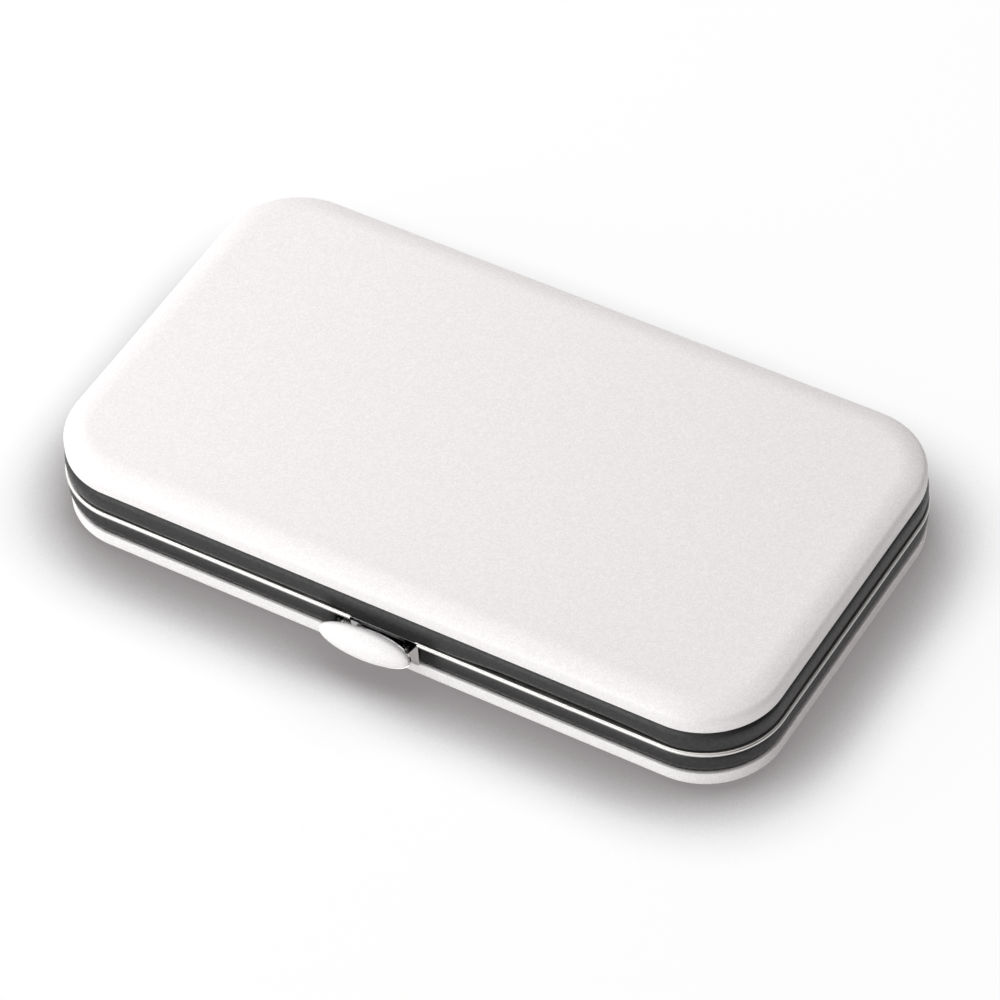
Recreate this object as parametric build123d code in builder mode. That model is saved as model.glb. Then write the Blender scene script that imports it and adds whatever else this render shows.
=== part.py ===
"""Hard manicure case: two pressed covers on hinged rim frames, a sprung clasp, and its tools inside.

Axes: +X along the case, -Y the clasp side, +Y the hinge side, +Z up.
Origin: centre of the flat face that the closed case rests on.
Insets are measured inwards from the outline of the rim flange.
Heights named "level" are measured from the middle of the closed case, and side is +1 or -1
for the upper or the lower half.
"""
import os
from math import cos, radians, sin

from build123d import *

# ---- case outline ----
case_length = 116.0
case_width = 64.9
corner_radius = 12.3

# ---- pressed covers ----
cover_thickness = 0.6
cover_inset = 0.4
cover_edge_level = 4.3
rim_height = 1.7
shoulder_radius = 1.1
shoulder_turn = 70.0
crown_radius = 10.0

# ---- rim frames ----
flange_low_level = -0.4
flange_thickness = 0.6
flange_round = 0.25
seam_gap = 0.05
lip_thickness = 0.2
lip_inset = 0.1
lip_round = 0.08
groove_height = 0.15
web_inset = 2.0
web_thickness = 0.6
foot_thickness = 0.5
foot_clearance = 0.05

# ---- beads between frame and cover ----
bead_edge_inset = 0.85
bead_proud_inset = 0.2
bead_end_round = 0.45

# ---- hinge ----
hinge_length = 52.0
knuckle_count = 5
knuckle_gap = 0.2
knuckle_radius = 1.25
hinge_pin_radius = 0.6
hinge_clearance = 0.05
hinge_overhang = 0.9
leaf_thickness = 0.3
leaf_leg_height = 3.4
leaf_finger_inset = 0.6
pin_head_radius = 0.95
pin_head_length = 0.5

# ---- clasp ----
recess_start = -6.95
recess_end = 6.6
notch_start = -4.45
notch_end = 6.5
post_top = 6.3
post_foot = 4.9
post_shoulder_level = -2.6
post_front_inset = 0.1
housing_fit = 0.1
housing_sheet = 0.3
ear_front_inset = 0.35
ear_top_level = -1.6
latch_pin_radius = 0.4
latch_pin_inset = 0.9
latch_pin_level = -2.6
latch_clearance = 0.05
curl_radius = 0.72
lever_thickness = 0.4
lever_half = 4.3
hook_front_inset = 0.05
nose_gap = 0.08
nose_lift = 0.1
spring_wire = 0.16
spring_coil_radius = 0.64
spring_pitch = 0.36
spring_turns = 4
spring_gap = 0.1
spring_back_leg = 0.7
spring_front_leg = 0.55
tab_half_length = 7.35
tab_half_height = 2.2
tab_dome = 1.0
tab_rim = 0.35
tab_reach = 2.1
tab_level = -1.7
tab_tilt = 28.8
tab_offset = -1.0
seat_half_length = 6.4
seat_half_height = 2.3
seat_thickness = 0.3
seat_flange_half = 1.25
catch_half = 3.2
catch_inset = 1.7
catch_thickness = 0.4
catch_depth = 1.4
catch_foot = 0.35

# ---- tray and lid panel ----
lining_clearance = 0.15
lining_bed = 0.2
tray_floor = 0.8
tray_top_level = -1.2
panel_thickness = 0.95
pocket_clearance = 0.6
pocket_round = 1.2
seat_clearance = 0.05
scoop_radius = 6.5
scoop_place = 0.78
panel_bevel = 0.4

# ---- scissors ----
scissor_end_margin = 4.85
scissor_side_margin = 5.8
scissor_tip = 36.0
scissor_ring_back = 36.0
scissor_ring_side = 10.1
ring_half_length = 12.0
ring_half_width = 9.4
ring_wire = 2.7
ring_edge_round = 1.0
blade_thickness = 1.5
blade_gap = 0.05
blade_root = 3.1
blade_belly = 2.2
blade_edge = 1.55
shank_width = 1.5
screw_radius = 1.1
screw_head_radius = 2.1
screw_head_height = 0.6
screw_slot_width = 0.5
well_depth = 1.05

# ---- nail clipper ----
clipper_end_margin = 4.85
clipper_half_length = 26.0
clipper_width = 11.0
jaw_thickness = 1.4
jaw_mouth = 3.4
jaw_spread = 5.2
mouth_run = 8.0
edge_land = 1.1
edge_bevel = 0.5
tail_length = 8.5
stud_radius = 1.3
stud_head_radius = 2.1
stud_head_height = 0.7
stud_place = 14.0
stud_pad = 3.0
rivet_place = -22.5
rivet_radius = 1.1
rivet_head_radius = 1.8
rivet_head_height = 0.4
clipper_fit = 0.05
thumb_lever_width = 9.0
thumb_lever_tip_width = 7.0
thumb_lever_thickness = 1.4
thumb_lever_rise = 1.2

# ---- tweezers ----
tweezer_end_margin = 8.85
tweezer_side_margin = 2.2
tweezer_length = 78.0
tweezer_spread = 2.6
tweezer_tip = 0.4
tweezer_leaf = 0.9
tweezer_height = 5.0
tweezer_slant = 0.35
tweezer_bow_share = 0.55

# ---- file and pusher in the lid ----
lid_tool_pitch = 24.0
file_length = 88.0
file_width = 7.6
file_tip_length = 16.0
file_thickness = 0.9
file_hole_radius = 1.3
pusher_side_margin = 9.3
pusher_length = 84.0
pusher_radius = 1.6
pusher_waist = 1.0
pusher_waist_length = 14.0
pusher_spade_length = 11.0
pusher_spade_half = 2.5
pusher_spade_thickness = 0.9
pusher_fork_half = 1.9
fork_mouth_half = 1.3

# ---- elastic straps ----
strap_spacing = 48.0
strap_width = 9.0
strap_thickness = 0.5
strap_clearance = 0.2
strap_tail = 4.5
strap_slope = 1.2


# ---- worked out from the driving dimensions ----
def arc_point(centre, radius, angle):
    """Point on an arc, at an angle in degrees from the first axis."""
    return (centre[0] + radius * cos(radians(angle)), centre[1] + radius * sin(radians(angle)))


shoulder_centre = (cover_inset + shoulder_radius, rim_height)
crown_centre = arc_point(shoulder_centre, shoulder_radius - crown_radius, 180.0 - shoulder_turn)
cover_depth = crown_centre[1] + crown_radius
mid_height = cover_edge_level + cover_depth
web_inner = web_inset + web_thickness
flange_top_level = flange_low_level + flange_thickness
lip_low_level = flange_top_level + seam_gap
lip_high_level = lip_low_level + lip_thickness
upper_bead_level = lip_high_level + groove_height
parting_level = flange_top_level + seam_gap / 2
foot_inset = cover_inset + cover_thickness + foot_clearance

hinge_axis_y = case_width / 2 + hinge_overhang
knuckle_pitch = hinge_length / knuckle_count
knuckle_bore = hinge_pin_radius + hinge_clearance
hinge_notch_half = hinge_length / 2 + pin_head_length + 2 * knuckle_gap

lining_inset = web_inner + leaf_thickness + lining_clearance
tray_bottom_level = -(mid_height - cover_thickness - lining_bed)
pocket_level = tray_bottom_level + tray_floor
tray_half_length = case_length / 2 - lining_inset
tray_half_width = case_width / 2 - lining_inset
panel_level = mid_height - cover_thickness - lining_bed - panel_thickness

# ---- places of the tools ----
scissor_x = scissor_end_margin - tray_half_length + ring_half_length + scissor_ring_back
scissor_y = tray_half_width - scissor_side_margin - ring_half_width - scissor_ring_side
clipper_x = tray_half_length - clipper_end_margin - clipper_width / 2
tweezer_x = tweezer_end_margin - tray_half_length
tweezer_y = tweezer_side_margin - tray_half_width + tweezer_spread + tweezer_leaf
pusher_x = -pusher_length / 2
pusher_y = pusher_side_margin - tray_half_width
file_x = -file_length / 2
file_y = pusher_y + lid_tool_pitch


def level(value):
    """Height above the resting face of a level measured from the middle of the case."""
    return mid_height + value


# ---- planes for the profiles ----
front_plane = Plane(origin=(0, -case_width / 2, 0), x_dir=(0, 1, 0), z_dir=(1, 0, 0))
post_plane = Plane(origin=(0, web_inset - case_width / 2, mid_height), x_dir=(1, 0, 0),
                   z_dir=(0, -1, 0))
clasp_plane = Plane(origin=(0, -case_width / 2, mid_height), x_dir=(0, -1, 0), z_dir=(-1, 0, 0))
hinge_plane = Plane(origin=(0, hinge_axis_y, level(parting_level)), x_dir=(0, -1, 0),
                    z_dir=(-1, 0, 0))


def save(part_builder, label):
    """Label a finished piece and write it as its own STEP file."""
    part_builder.part.label = label
    export_step(part_builder.part, f"parts/{label}.step")


def rim_path():
    """Closed plan outline of the case, starting at the middle of the clasp side."""
    long_run = case_length - 2 * corner_radius
    short_run = case_width - 2 * corner_radius
    with BuildLine() as path:
        run = Line((0, -case_width / 2), (long_run / 2, -case_width / 2))
        for length in (short_run, long_run, short_run, long_run / 2):
            turn = JernArc(run @ 1, run % 1, corner_radius, 90)
            run = Line(turn @ 1, turn @ 1 + turn % 1 * length)
    return path.wire()


def plan(inset):
    """Rounded rectangle at an inset from the case outline."""
    RectangleRounded(case_length - 2 * inset, case_width - 2 * inset, corner_radius - inset)


def closed_face(points):
    """Face inside straight lines through the points."""
    Polygon(*points, align=None)


def box_between(low, high, mode):
    """Box between two corners."""
    with Locations([tuple((a + b) / 2 for a, b in zip(low, high))]):
        Box(*(b - a for a, b in zip(low, high)), mode=mode)


os.makedirs("parts", exist_ok=True)


# ---- covers ----
def make_cover(side):
    """Pressed pan: upright rim, tight shoulder, long soft crown and a flat middle."""
    def on_profile(centre, radius, angle):
        inset, height = arc_point(centre, radius, angle)
        return (inset, level(side * (cover_edge_level + height)))

    tight_end = 180.0 - shoulder_turn
    tight_mid = 180.0 - shoulder_turn / 2
    crown_mid = (tight_end + 90.0) / 2
    inner_shoulder = shoulder_radius - cover_thickness
    inner_crown = crown_radius - cover_thickness
    edge = level(side * cover_edge_level)
    with BuildPart() as cover:
        with BuildSketch(front_plane):
            with BuildLine():
                Line((cover_inset, edge), on_profile(shoulder_centre, shoulder_radius, 180.0))
                ThreePointArc(*[on_profile(shoulder_centre, shoulder_radius, angle)
                                for angle in (180.0, tight_mid, tight_end)])
                ThreePointArc(*[on_profile(crown_centre, crown_radius, angle)
                                for angle in (tight_end, crown_mid, 90.0)])
                Line(on_profile(crown_centre, crown_radius, 90.0),
                     on_profile(crown_centre, inner_crown, 90.0))
                ThreePointArc(*[on_profile(crown_centre, inner_crown, angle)
                                for angle in (90.0, crown_mid, tight_end)])
                ThreePointArc(*[on_profile(shoulder_centre, inner_shoulder, angle)
                                for angle in (tight_end, tight_mid, 180.0)])
                Line(on_profile(shoulder_centre, inner_shoulder, 180.0),
                     (cover_inset + cover_thickness, edge))
                Line((cover_inset + cover_thickness, edge), (cover_inset, edge))
            make_face()
        sweep(path=rim_path())
        plate_level = min(side * mid_height, side * (mid_height - cover_thickness))
        with BuildSketch(Plane.XY.offset(level(plate_level))):
            plan(crown_centre[0])
        extrude(amount=cover_thickness)
    return cover


lower_cover = make_cover(-1)
save(lower_cover, "lower_cover")
upper_cover = make_cover(1)
save(upper_cover, "upper_cover")


# ---- rim frames ----
def make_frame(side, edge_inset, edge_round, seam_face, bead_face):
    """Rim frame of channel section: flange or lip at the seam, web, and foot inside the cover rim."""
    foot_near = side * cover_edge_level
    foot_far = side * (cover_edge_level + foot_thickness)
    seat_level = seam_face + side * leaf_thickness
    seat_low, seat_high = sorted((seam_face, seat_level))
    edge_low, edge_high = sorted((seam_face, bead_face))
    with BuildPart() as frame:
        with BuildSketch(front_plane) as section:
            closed_face([(edge_inset, level(seam_face)), (web_inner, level(seam_face)),
                         (web_inner, level(foot_far)), (foot_inset, level(foot_far)),
                         (foot_inset, level(foot_near)), (web_inset, level(foot_near)),
                         (web_inset, level(bead_face)), (edge_inset, level(bead_face))])
            fillet(section.vertices().group_by(Axis.X)[0], edge_round)
        sweep(path=rim_path())
        # the hinge leaves lie in a shallow seat across the back, and the knuckles clear the edge
        box_between((-hinge_notch_half, case_width / 2 - web_inner, level(seat_low)),
                    (hinge_notch_half, case_width / 2, level(seat_high)), Mode.SUBTRACT)
        box_between((-hinge_notch_half, case_width / 2 - leaf_finger_inset, level(edge_low)),
                    (hinge_notch_half, case_width / 2, level(edge_high)), Mode.SUBTRACT)
        if side < 0:
            # notch for the clasp, and the flared post that closes the channel at one end of it
            box_between((notch_start, -case_width / 2, level(flange_low_level)),
                        (notch_end, web_inset - case_width / 2, level(flange_top_level)),
                        Mode.SUBTRACT)
            with BuildSketch(post_plane):
                closed_face([(post_top, flange_low_level), (recess_end, flange_low_level),
                             (recess_end, -cover_edge_level), (post_foot, -cover_edge_level),
                             (post_foot, post_shoulder_level)])
            extrude(amount=web_inset - post_front_inset)
    return frame


lower_frame = make_frame(-1, 0.0, flange_round, flange_top_level, flange_low_level)
save(lower_frame, "lower_frame")
upper_frame = make_frame(1, lip_inset, lip_round, lip_low_level, lip_high_level)
save(upper_frame, "upper_frame")


# ---- beads ----
def make_bead(low, high):
    """Half-round grained band in the channel of a rim frame, between two levels."""
    with BuildPart() as bead:
        with BuildSketch(front_plane):
            with BuildLine():
                Polyline((bead_edge_inset, level(high)), (web_inset, level(high)),
                         (web_inset, level(low)), (bead_edge_inset, level(low)))
                ThreePointArc((bead_edge_inset, level(low)),
                              (bead_proud_inset, level((low + high) / 2)),
                              (bead_edge_inset, level(high)))
            make_face()
        sweep(path=rim_path())
    return bead


upper_bead = make_bead(upper_bead_level, cover_edge_level)
save(upper_bead, "upper_bead")

lower_bead = make_bead(-cover_edge_level, flange_low_level)
with lower_bead:
    box_between((recess_start, -case_width / 2, level(-cover_edge_level)),
                (recess_end, web_inset - case_width / 2, level(flange_low_level)), Mode.SUBTRACT)
    end_faces = [face for face in lower_bead.faces().filter_by(Axis.X)
                 if recess_start - bead_end_round < face.center().X < recess_end + bead_end_round]
    end_arcs = [edge for face in end_faces for edge in face.edges().filter_by(GeomType.LINE, reverse=True)]
    fillet(end_arcs, bead_end_round)
save(lower_bead, "lower_bead")


# ---- hinge ----
def make_hinge_leaf(side, knuckles):
    """Bent strip on the inside of the web, with its own knuckles rolled round the pin."""
    seam_face = side * seam_gap / 2
    shelf_far = seam_face + side * leaf_thickness
    leg_end = seam_face + side * leaf_leg_height
    leg_near = -hinge_overhang - web_inner
    leg_far = leg_near - leaf_thickness
    finger = -hinge_overhang - leaf_finger_inset
    with BuildPart() as leaf:
        with BuildSketch(hinge_plane):
            closed_face([(-leg_far, seam_face), (-leg_far, leg_end), (-leg_near, leg_end),
                         (-leg_near, shelf_far), (-finger, shelf_far), (-finger, seam_face)])
        extrude(amount=hinge_length / 2, both=True)
        for index in knuckles:
            middle = (index - (knuckle_count - 1) / 2) * knuckle_pitch
            with BuildSketch(hinge_plane.offset(-middle)):
                Circle(knuckle_radius)
                closed_face([(-finger, seam_face), (-finger, shelf_far), (0, shelf_far), (0, seam_face)])
                Circle(knuckle_bore, mode=Mode.SUBTRACT)
            extrude(amount=(knuckle_pitch - knuckle_gap) / 2, both=True)
    return leaf


lower_hinge_leaf = make_hinge_leaf(-1, range(0, knuckle_count, 2))
save(lower_hinge_leaf, "lower_hinge_leaf")
upper_hinge_leaf = make_hinge_leaf(1, range(1, knuckle_count, 2))
save(upper_hinge_leaf, "upper_hinge_leaf")

with BuildPart() as hinge_pin:
    with BuildSketch(hinge_plane):
        Circle(hinge_pin_radius)
    extrude(amount=hinge_length / 2 + knuckle_gap, both=True)
    for end in (-1, 1):
        with BuildSketch(hinge_plane.offset(end * hinge_length / 2)):
            Circle(pin_head_radius)
        extrude(amount=end * pin_head_length)
save(hinge_pin, "hinge_pin")


# ---- clasp ----
def clasp_point(inset, height):
    """Point on the clasp plane: outwards from the case outline, and up from its middle."""
    return (-inset, height)


pin_point = clasp_point(latch_pin_inset, latch_pin_level)
housing_start = recess_start + housing_fit
housing_end = post_foot - housing_fit

# folded sheet: back wall against the web of the frame, and an ear for the pin at each end
with BuildPart() as latch_housing:
    housing_low = housing_fit - cover_edge_level
    housing_high = flange_low_level - housing_fit
    with BuildSketch(post_plane):
        closed_face([(housing_start, housing_low), (housing_end, housing_low),
                     (housing_end, post_shoulder_level), (post_top - housing_fit, housing_high),
                     (housing_start, housing_high)])
    extrude(amount=housing_sheet)
    for ear_low, ear_high in ((housing_start, housing_start + housing_sheet),
                              (housing_end - housing_sheet, housing_end)):
        with BuildSketch(clasp_plane.offset(-ear_low)) as ear:
            closed_face([clasp_point(ear_front_inset, housing_low), clasp_point(web_inset, housing_low),
                         clasp_point(web_inset, ear_top_level),
                         clasp_point(ear_front_inset, ear_top_level)])
            fillet(ear.vertices().group_by(Axis.Z)[-1], housing_sheet)
            with Locations([pin_point]):
                Circle(latch_pin_radius, mode=Mode.SUBTRACT)
        extrude(amount=ear_low - ear_high)
save(latch_housing, "latch_housing")

with BuildPart() as latch_pin:
    with BuildSketch(clasp_plane.offset(-housing_start)):
        with Locations([pin_point]):
            Circle(latch_pin_radius)
    extrude(amount=housing_start - housing_end)
save(latch_pin, "latch_pin")


def tilted_plane(place, depth):
    """Plane of the oval tab at a place along the case, and a depth behind the front of its rim."""
    front = Plane(origin=(place, -case_width / 2 - tab_reach, level(tab_level)), x_dir=(1, 0, 0),
                  z_dir=(0, -cos(radians(tab_tilt)), sin(radians(tab_tilt))))
    return front.offset(-depth)


# a builder can't stretch a half sphere by three factors, so the dome is made first
half_sphere = Sphere(1.0, arc_size1=0, align=(Align.CENTER, Align.CENTER, Align.MIN))
dome = scale(half_sphere, by=(tab_half_length, tab_half_height, tab_dome))
with BuildPart() as clasp_tab:
    with BuildSketch(tilted_plane(tab_offset, tab_rim)):
        Ellipse(tab_half_length, tab_half_height)
    extrude(amount=tab_rim)
    add(tilted_plane(tab_offset, 0).location * dome)
save(clasp_tab, "clasp_tab")

nose_inset = catch_inset - catch_thickness - catch_foot - nose_gap
foot_top_level = lip_low_level - catch_depth + catch_thickness
nose_low = foot_top_level + nose_lift
with BuildPart() as latch_lever:
    # curl round the pin, the arm that carries the tab, and the hook with its nose over the catch foot
    with BuildSketch(clasp_plane):
        with Locations([pin_point]):
            Circle(curl_radius)
        seat_middle = clasp_point(-tab_reach, tab_level)
        seat_depth = tab_rim + lever_thickness / 2
        seat_centre = arc_point(seat_middle, -seat_depth, tab_tilt)
        with Locations([Location(seat_centre, tab_tilt)]):
            Rectangle(lever_thickness, 2 * seat_flange_half)
        closed_face([pin_point, (pin_point[0], pin_point[1] - lever_thickness),
                     arc_point(seat_centre, seat_flange_half, tab_tilt - 90.0),
                     arc_point(seat_centre, seat_flange_half - lever_thickness, tab_tilt - 90.0)])
        hook_back = hook_front_inset + lever_thickness
        closed_face([clasp_point(hook_front_inset, latch_pin_level),
                     clasp_point(hook_front_inset, nose_low + lever_thickness),
                     clasp_point(nose_inset, nose_low + lever_thickness),
                     clasp_point(nose_inset, nose_low),
                     clasp_point(hook_back, nose_low),
                     clasp_point(hook_back, latch_pin_level)])
        with Locations([pin_point]):
            Circle(latch_pin_radius + latch_clearance, mode=Mode.SUBTRACT)
    extrude(amount=lever_half, both=True)
    # bright oval plate that carries the tab and shows a little round it
    with BuildSketch(tilted_plane(0, tab_rim + seat_thickness)):
        Ellipse(seat_half_length, seat_half_height)
    extrude(amount=seat_thickness)
save(latch_lever, "latch_lever")

# torsion spring on the pin beside the lever, one leg to the back wall and one under the tab's arm
with BuildPart() as latch_spring:
    spring_length = spring_pitch * spring_turns
    spring_start = -lever_half - spring_gap - spring_wire - spring_length
    coil_centre = (spring_start, -case_width / 2 + latch_pin_inset, level(latch_pin_level))
    with BuildLine() as coil:
        Helix(pitch=spring_pitch, height=spring_length, radius=spring_coil_radius,
              center=coil_centre, direction=(1, 0, 0))
    with BuildSketch(Plane(origin=coil.line @ 0, z_dir=coil.line % 0)):
        Circle(spring_wire)
    sweep(path=coil.line, is_frenet=True)
    for place, leg in ((0, -spring_back_leg), (1, spring_front_leg)):
        with BuildSketch(Plane(origin=coil.line @ place, z_dir=coil.line % place)):
            Circle(spring_wire)
        extrude(amount=leg)
save(latch_spring, "latch_spring")

with BuildPart() as catch_plate:
    with BuildSketch(clasp_plane):
        catch_low = lip_low_level - catch_depth
        catch_back = catch_inset
        catch_front = catch_back - catch_thickness
        foot_end = catch_front - catch_foot
        closed_face([clasp_point(foot_end, lip_low_level), clasp_point(catch_back, lip_low_level),
                     clasp_point(catch_back, catch_low), clasp_point(foot_end, catch_low),
                     clasp_point(foot_end, foot_top_level), clasp_point(catch_front, foot_top_level),
                     clasp_point(catch_front, lip_low_level - catch_thickness),
                     clasp_point(foot_end, lip_low_level - catch_thickness)])
    extrude(amount=catch_half, both=True)
save(catch_plate, "catch_plate")


# ---- scissors ----
scissor_level = pocket_level + well_depth + seat_clearance
scissor_top = scissor_level + 2 * blade_thickness + blade_gap


def ring_centre(side):
    """Centre of a finger ring in plan."""
    return (scissor_x - scissor_ring_back, scissor_y + side * scissor_ring_side)


def make_scissor_blade(side, low):
    """One half of the scissors: curved blade, shank that crosses at the screw, and finger ring."""
    with BuildPart() as blade:
        centre = ring_centre(side)
        with BuildSketch(Plane.XY.offset(level(scissor_level))):
            with Locations([centre]):
                Ellipse(ring_half_length, ring_half_width)
                Ellipse(ring_half_length - ring_wire, ring_half_width - ring_wire, mode=Mode.SUBTRACT)
        extrude(amount=scissor_top - scissor_level)
        fillet(blade.edges().group_by(Axis.Z)[0] + blade.edges().group_by(Axis.Z)[-1], ring_edge_round)
        with BuildSketch(Plane.XY.offset(level(low))):
            with BuildLine():
                ThreePointArc((scissor_x, scissor_y - side * blade_root),
                              (scissor_x + scissor_tip / 2, scissor_y - side * blade_belly),
                              (scissor_x + scissor_tip, scissor_y))
                Polyline((scissor_x + scissor_tip, scissor_y), (scissor_x, scissor_y + side * blade_edge),
                         (scissor_x, scissor_y - side * blade_root))
            make_face()
            with Locations([(scissor_x, scissor_y)]):
                Circle(blade_root)
        extrude(amount=blade_thickness)
        with BuildSketch(Plane.XY.offset(level(low))):
            with Locations([(scissor_x - blade_root / 2, scissor_y)]):
                Circle(shank_width)
            entry = (centre[0] + ring_half_length - ring_wire / 2, centre[1] - side * ring_wire)
            with Locations([entry]):
                Circle(shank_width)
            make_hull()
            with Locations([centre]):
                Ellipse(ring_half_length - ring_wire / 2, ring_half_width - ring_wire / 2,
                        mode=Mode.SUBTRACT)
        extrude(amount=blade_thickness)
        with BuildSketch(Plane.XY.offset(level(low))):
            with Locations([(scissor_x, scissor_y)]):
                Circle(screw_radius + blade_gap)
        extrude(amount=blade_thickness, mode=Mode.SUBTRACT)
    return blade


scissor_blade_lower = make_scissor_blade(1, scissor_level)
save(scissor_blade_lower, "scissor_blade_lower")
scissor_blade_upper = make_scissor_blade(-1, scissor_level + blade_thickness + blade_gap)
save(scissor_blade_upper, "scissor_blade_upper")

with BuildPart() as scissor_screw:
    with BuildSketch(Plane.XY.offset(level(scissor_level))):
        with Locations([(scissor_x, scissor_y)]):
            Circle(screw_radius)
    extrude(amount=scissor_top - scissor_level)
    with BuildSketch(Plane.XY.offset(level(scissor_top))):
        with Locations([(scissor_x, scissor_y)]):
            Circle(screw_head_radius)
    extrude(amount=screw_head_height)
    fillet(scissor_screw.edges().group_by(Axis.Z)[-1], screw_head_height / 2)
    box_between((scissor_x - screw_head_radius, scissor_y - screw_slot_width / 2,
                 level(scissor_top) + screw_head_height / 2),
                (scissor_x + screw_head_radius, scissor_y + screw_slot_width / 2,
                 level(scissor_top) + screw_head_height), Mode.SUBTRACT)
save(scissor_screw, "scissor_screw")


# ---- nail clipper, side profiles along Y ----
clipper_level = pocket_level + seat_clearance + stud_head_height
clipper_plane = Plane(origin=(clipper_x, 0, level(clipper_level)), x_dir=(0, 1, 0), z_dir=(1, 0, 0))
mouth_end = clipper_half_length
mouth_start = mouth_end - mouth_run
land_end = mouth_end - edge_bevel
land_start = land_end - edge_land
leaf_split = tail_length - mouth_end
pad_start = stud_place - stud_pad
upper_tail = jaw_thickness + clipper_fit
upper_top = upper_tail + jaw_thickness
low_bite = jaw_mouth - clipper_fit / 2
high_bite = jaw_mouth + clipper_fit / 2
lever_seat = jaw_spread + jaw_thickness + clipper_fit
lever_top = lever_seat + thumb_lever_thickness


def upright_hole(place, radius):
    """Hole along Z through the leaf that is being built, at a place along the clipper."""
    with Locations([(clipper_x, place, level(clipper_level))]):
        Cylinder(radius + clipper_fit, 2 * lever_top, mode=Mode.SUBTRACT)


def upright_pin(place, height, radius, length, align):
    """Cylinder along Z at a place and a height on the clipper."""
    with Locations([(clipper_x, place, level(clipper_level) + height)]):
        Cylinder(radius, length, align=(Align.CENTER, Align.CENTER, align))


with BuildPart() as clipper_lower_jaw:
    with BuildSketch(clipper_plane):
        closed_face([(-mouth_end, 0), (mouth_start, 0), (mouth_end, low_bite - edge_bevel),
                     (land_end, low_bite), (land_start, low_bite), (mouth_start, jaw_thickness),
                     (-mouth_end, jaw_thickness)])
    extrude(amount=clipper_width / 2, both=True)
    upright_hole(stud_place, stud_radius)
    upright_hole(rivet_place, rivet_radius)
save(clipper_lower_jaw, "clipper_lower_jaw")

with BuildPart() as clipper_upper_jaw:
    with BuildSketch(clipper_plane):
        closed_face([(-mouth_end, upper_tail), (leaf_split, upper_tail), (pad_start, jaw_spread),
                     (mouth_start, jaw_spread), (land_start, high_bite), (land_end, high_bite),
                     (mouth_end, high_bite + edge_bevel), (mouth_start, jaw_spread + jaw_thickness),
                     (pad_start, jaw_spread + jaw_thickness), (leaf_split, upper_top),
                     (-mouth_end, upper_top)])
    extrude(amount=clipper_width / 2, both=True)
    upright_hole(stud_place, stud_radius)
    upright_hole(rivet_place, rivet_radius)
save(clipper_upper_jaw, "clipper_upper_jaw")

with BuildPart() as clipper_lever:
    with BuildSketch(clipper_plane):
        closed_face([(stud_place + stud_pad, lever_seat), (pad_start, lever_seat),
                     (-mouth_end, upper_top + thumb_lever_rise),
                     (-mouth_end, upper_top + thumb_lever_rise + thumb_lever_thickness),
                     (pad_start, lever_top), (stud_place + stud_pad, lever_top)])
    extrude(amount=thumb_lever_width / 2, both=True)
    with BuildSketch(Plane(origin=(clipper_x, 0, level(clipper_level)))) as outline:
        closed_face([(-thumb_lever_width / 2, stud_place + stud_pad),
                     (thumb_lever_width / 2, stud_place + stud_pad),
                     (thumb_lever_tip_width / 2, -mouth_end), (-thumb_lever_tip_width / 2, -mouth_end)])
        fillet(outline.vertices(), stud_pad / 2)
    extrude(amount=lever_top, mode=Mode.INTERSECT)
    upright_hole(stud_place, stud_radius)
save(clipper_lever, "clipper_lever")

with BuildPart() as clipper_stud:
    upright_pin(stud_place, 0, stud_head_radius, stud_head_height, Align.MAX)
    upright_pin(stud_place, 0, stud_radius, lever_top, Align.MIN)
    upright_pin(stud_place, lever_top, stud_head_radius, stud_head_height, Align.MIN)
save(clipper_stud, "clipper_stud")

with BuildPart() as clipper_rivet:
    upright_pin(rivet_place, 0, rivet_head_radius, rivet_head_height, Align.MAX)
    upright_pin(rivet_place, 0, rivet_radius, upper_top, Align.MIN)
    upright_pin(rivet_place, upper_top, rivet_head_radius, rivet_head_height, Align.MIN)
save(clipper_rivet, "clipper_rivet")

# ---- tweezers ----
tweezer_level = pocket_level + seat_clearance
tweezer_bow = tweezer_length * tweezer_bow_share
with BuildPart() as tweezers:
    with BuildSketch(Plane(origin=(tweezer_x, tweezer_y, level(tweezer_level)))):
        with BuildLine():
            Line((0, 0), (0, tweezer_leaf))
            ThreePointArc((0, tweezer_leaf), (tweezer_bow, tweezer_spread + tweezer_leaf),
                          (tweezer_length, tweezer_tip + tweezer_leaf))
            Line((tweezer_length, tweezer_tip + tweezer_leaf), (tweezer_length, tweezer_tip))
            ThreePointArc((tweezer_length, tweezer_tip), (tweezer_bow, tweezer_spread),
                          (2 * tweezer_leaf, 0))
            Line((2 * tweezer_leaf, 0), (0, 0))
        make_face()
        mirror(about=Plane.XZ)
    extrude(amount=tweezer_height)
    # slanted tips
    slant_run = tweezer_height * tweezer_slant
    tip_plane = Plane(origin=(tweezer_x + tweezer_length, tweezer_y, level(tweezer_level)),
                      x_dir=(1, 0, 0), z_dir=(0, -1, 0))
    with BuildSketch(tip_plane):
        closed_face([(-slant_run, tweezer_height), (0, 0), (0, tweezer_height)])
    extrude(amount=tweezer_spread + tweezer_leaf, both=True, mode=Mode.SUBTRACT)
save(tweezers, "tweezers")

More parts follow.
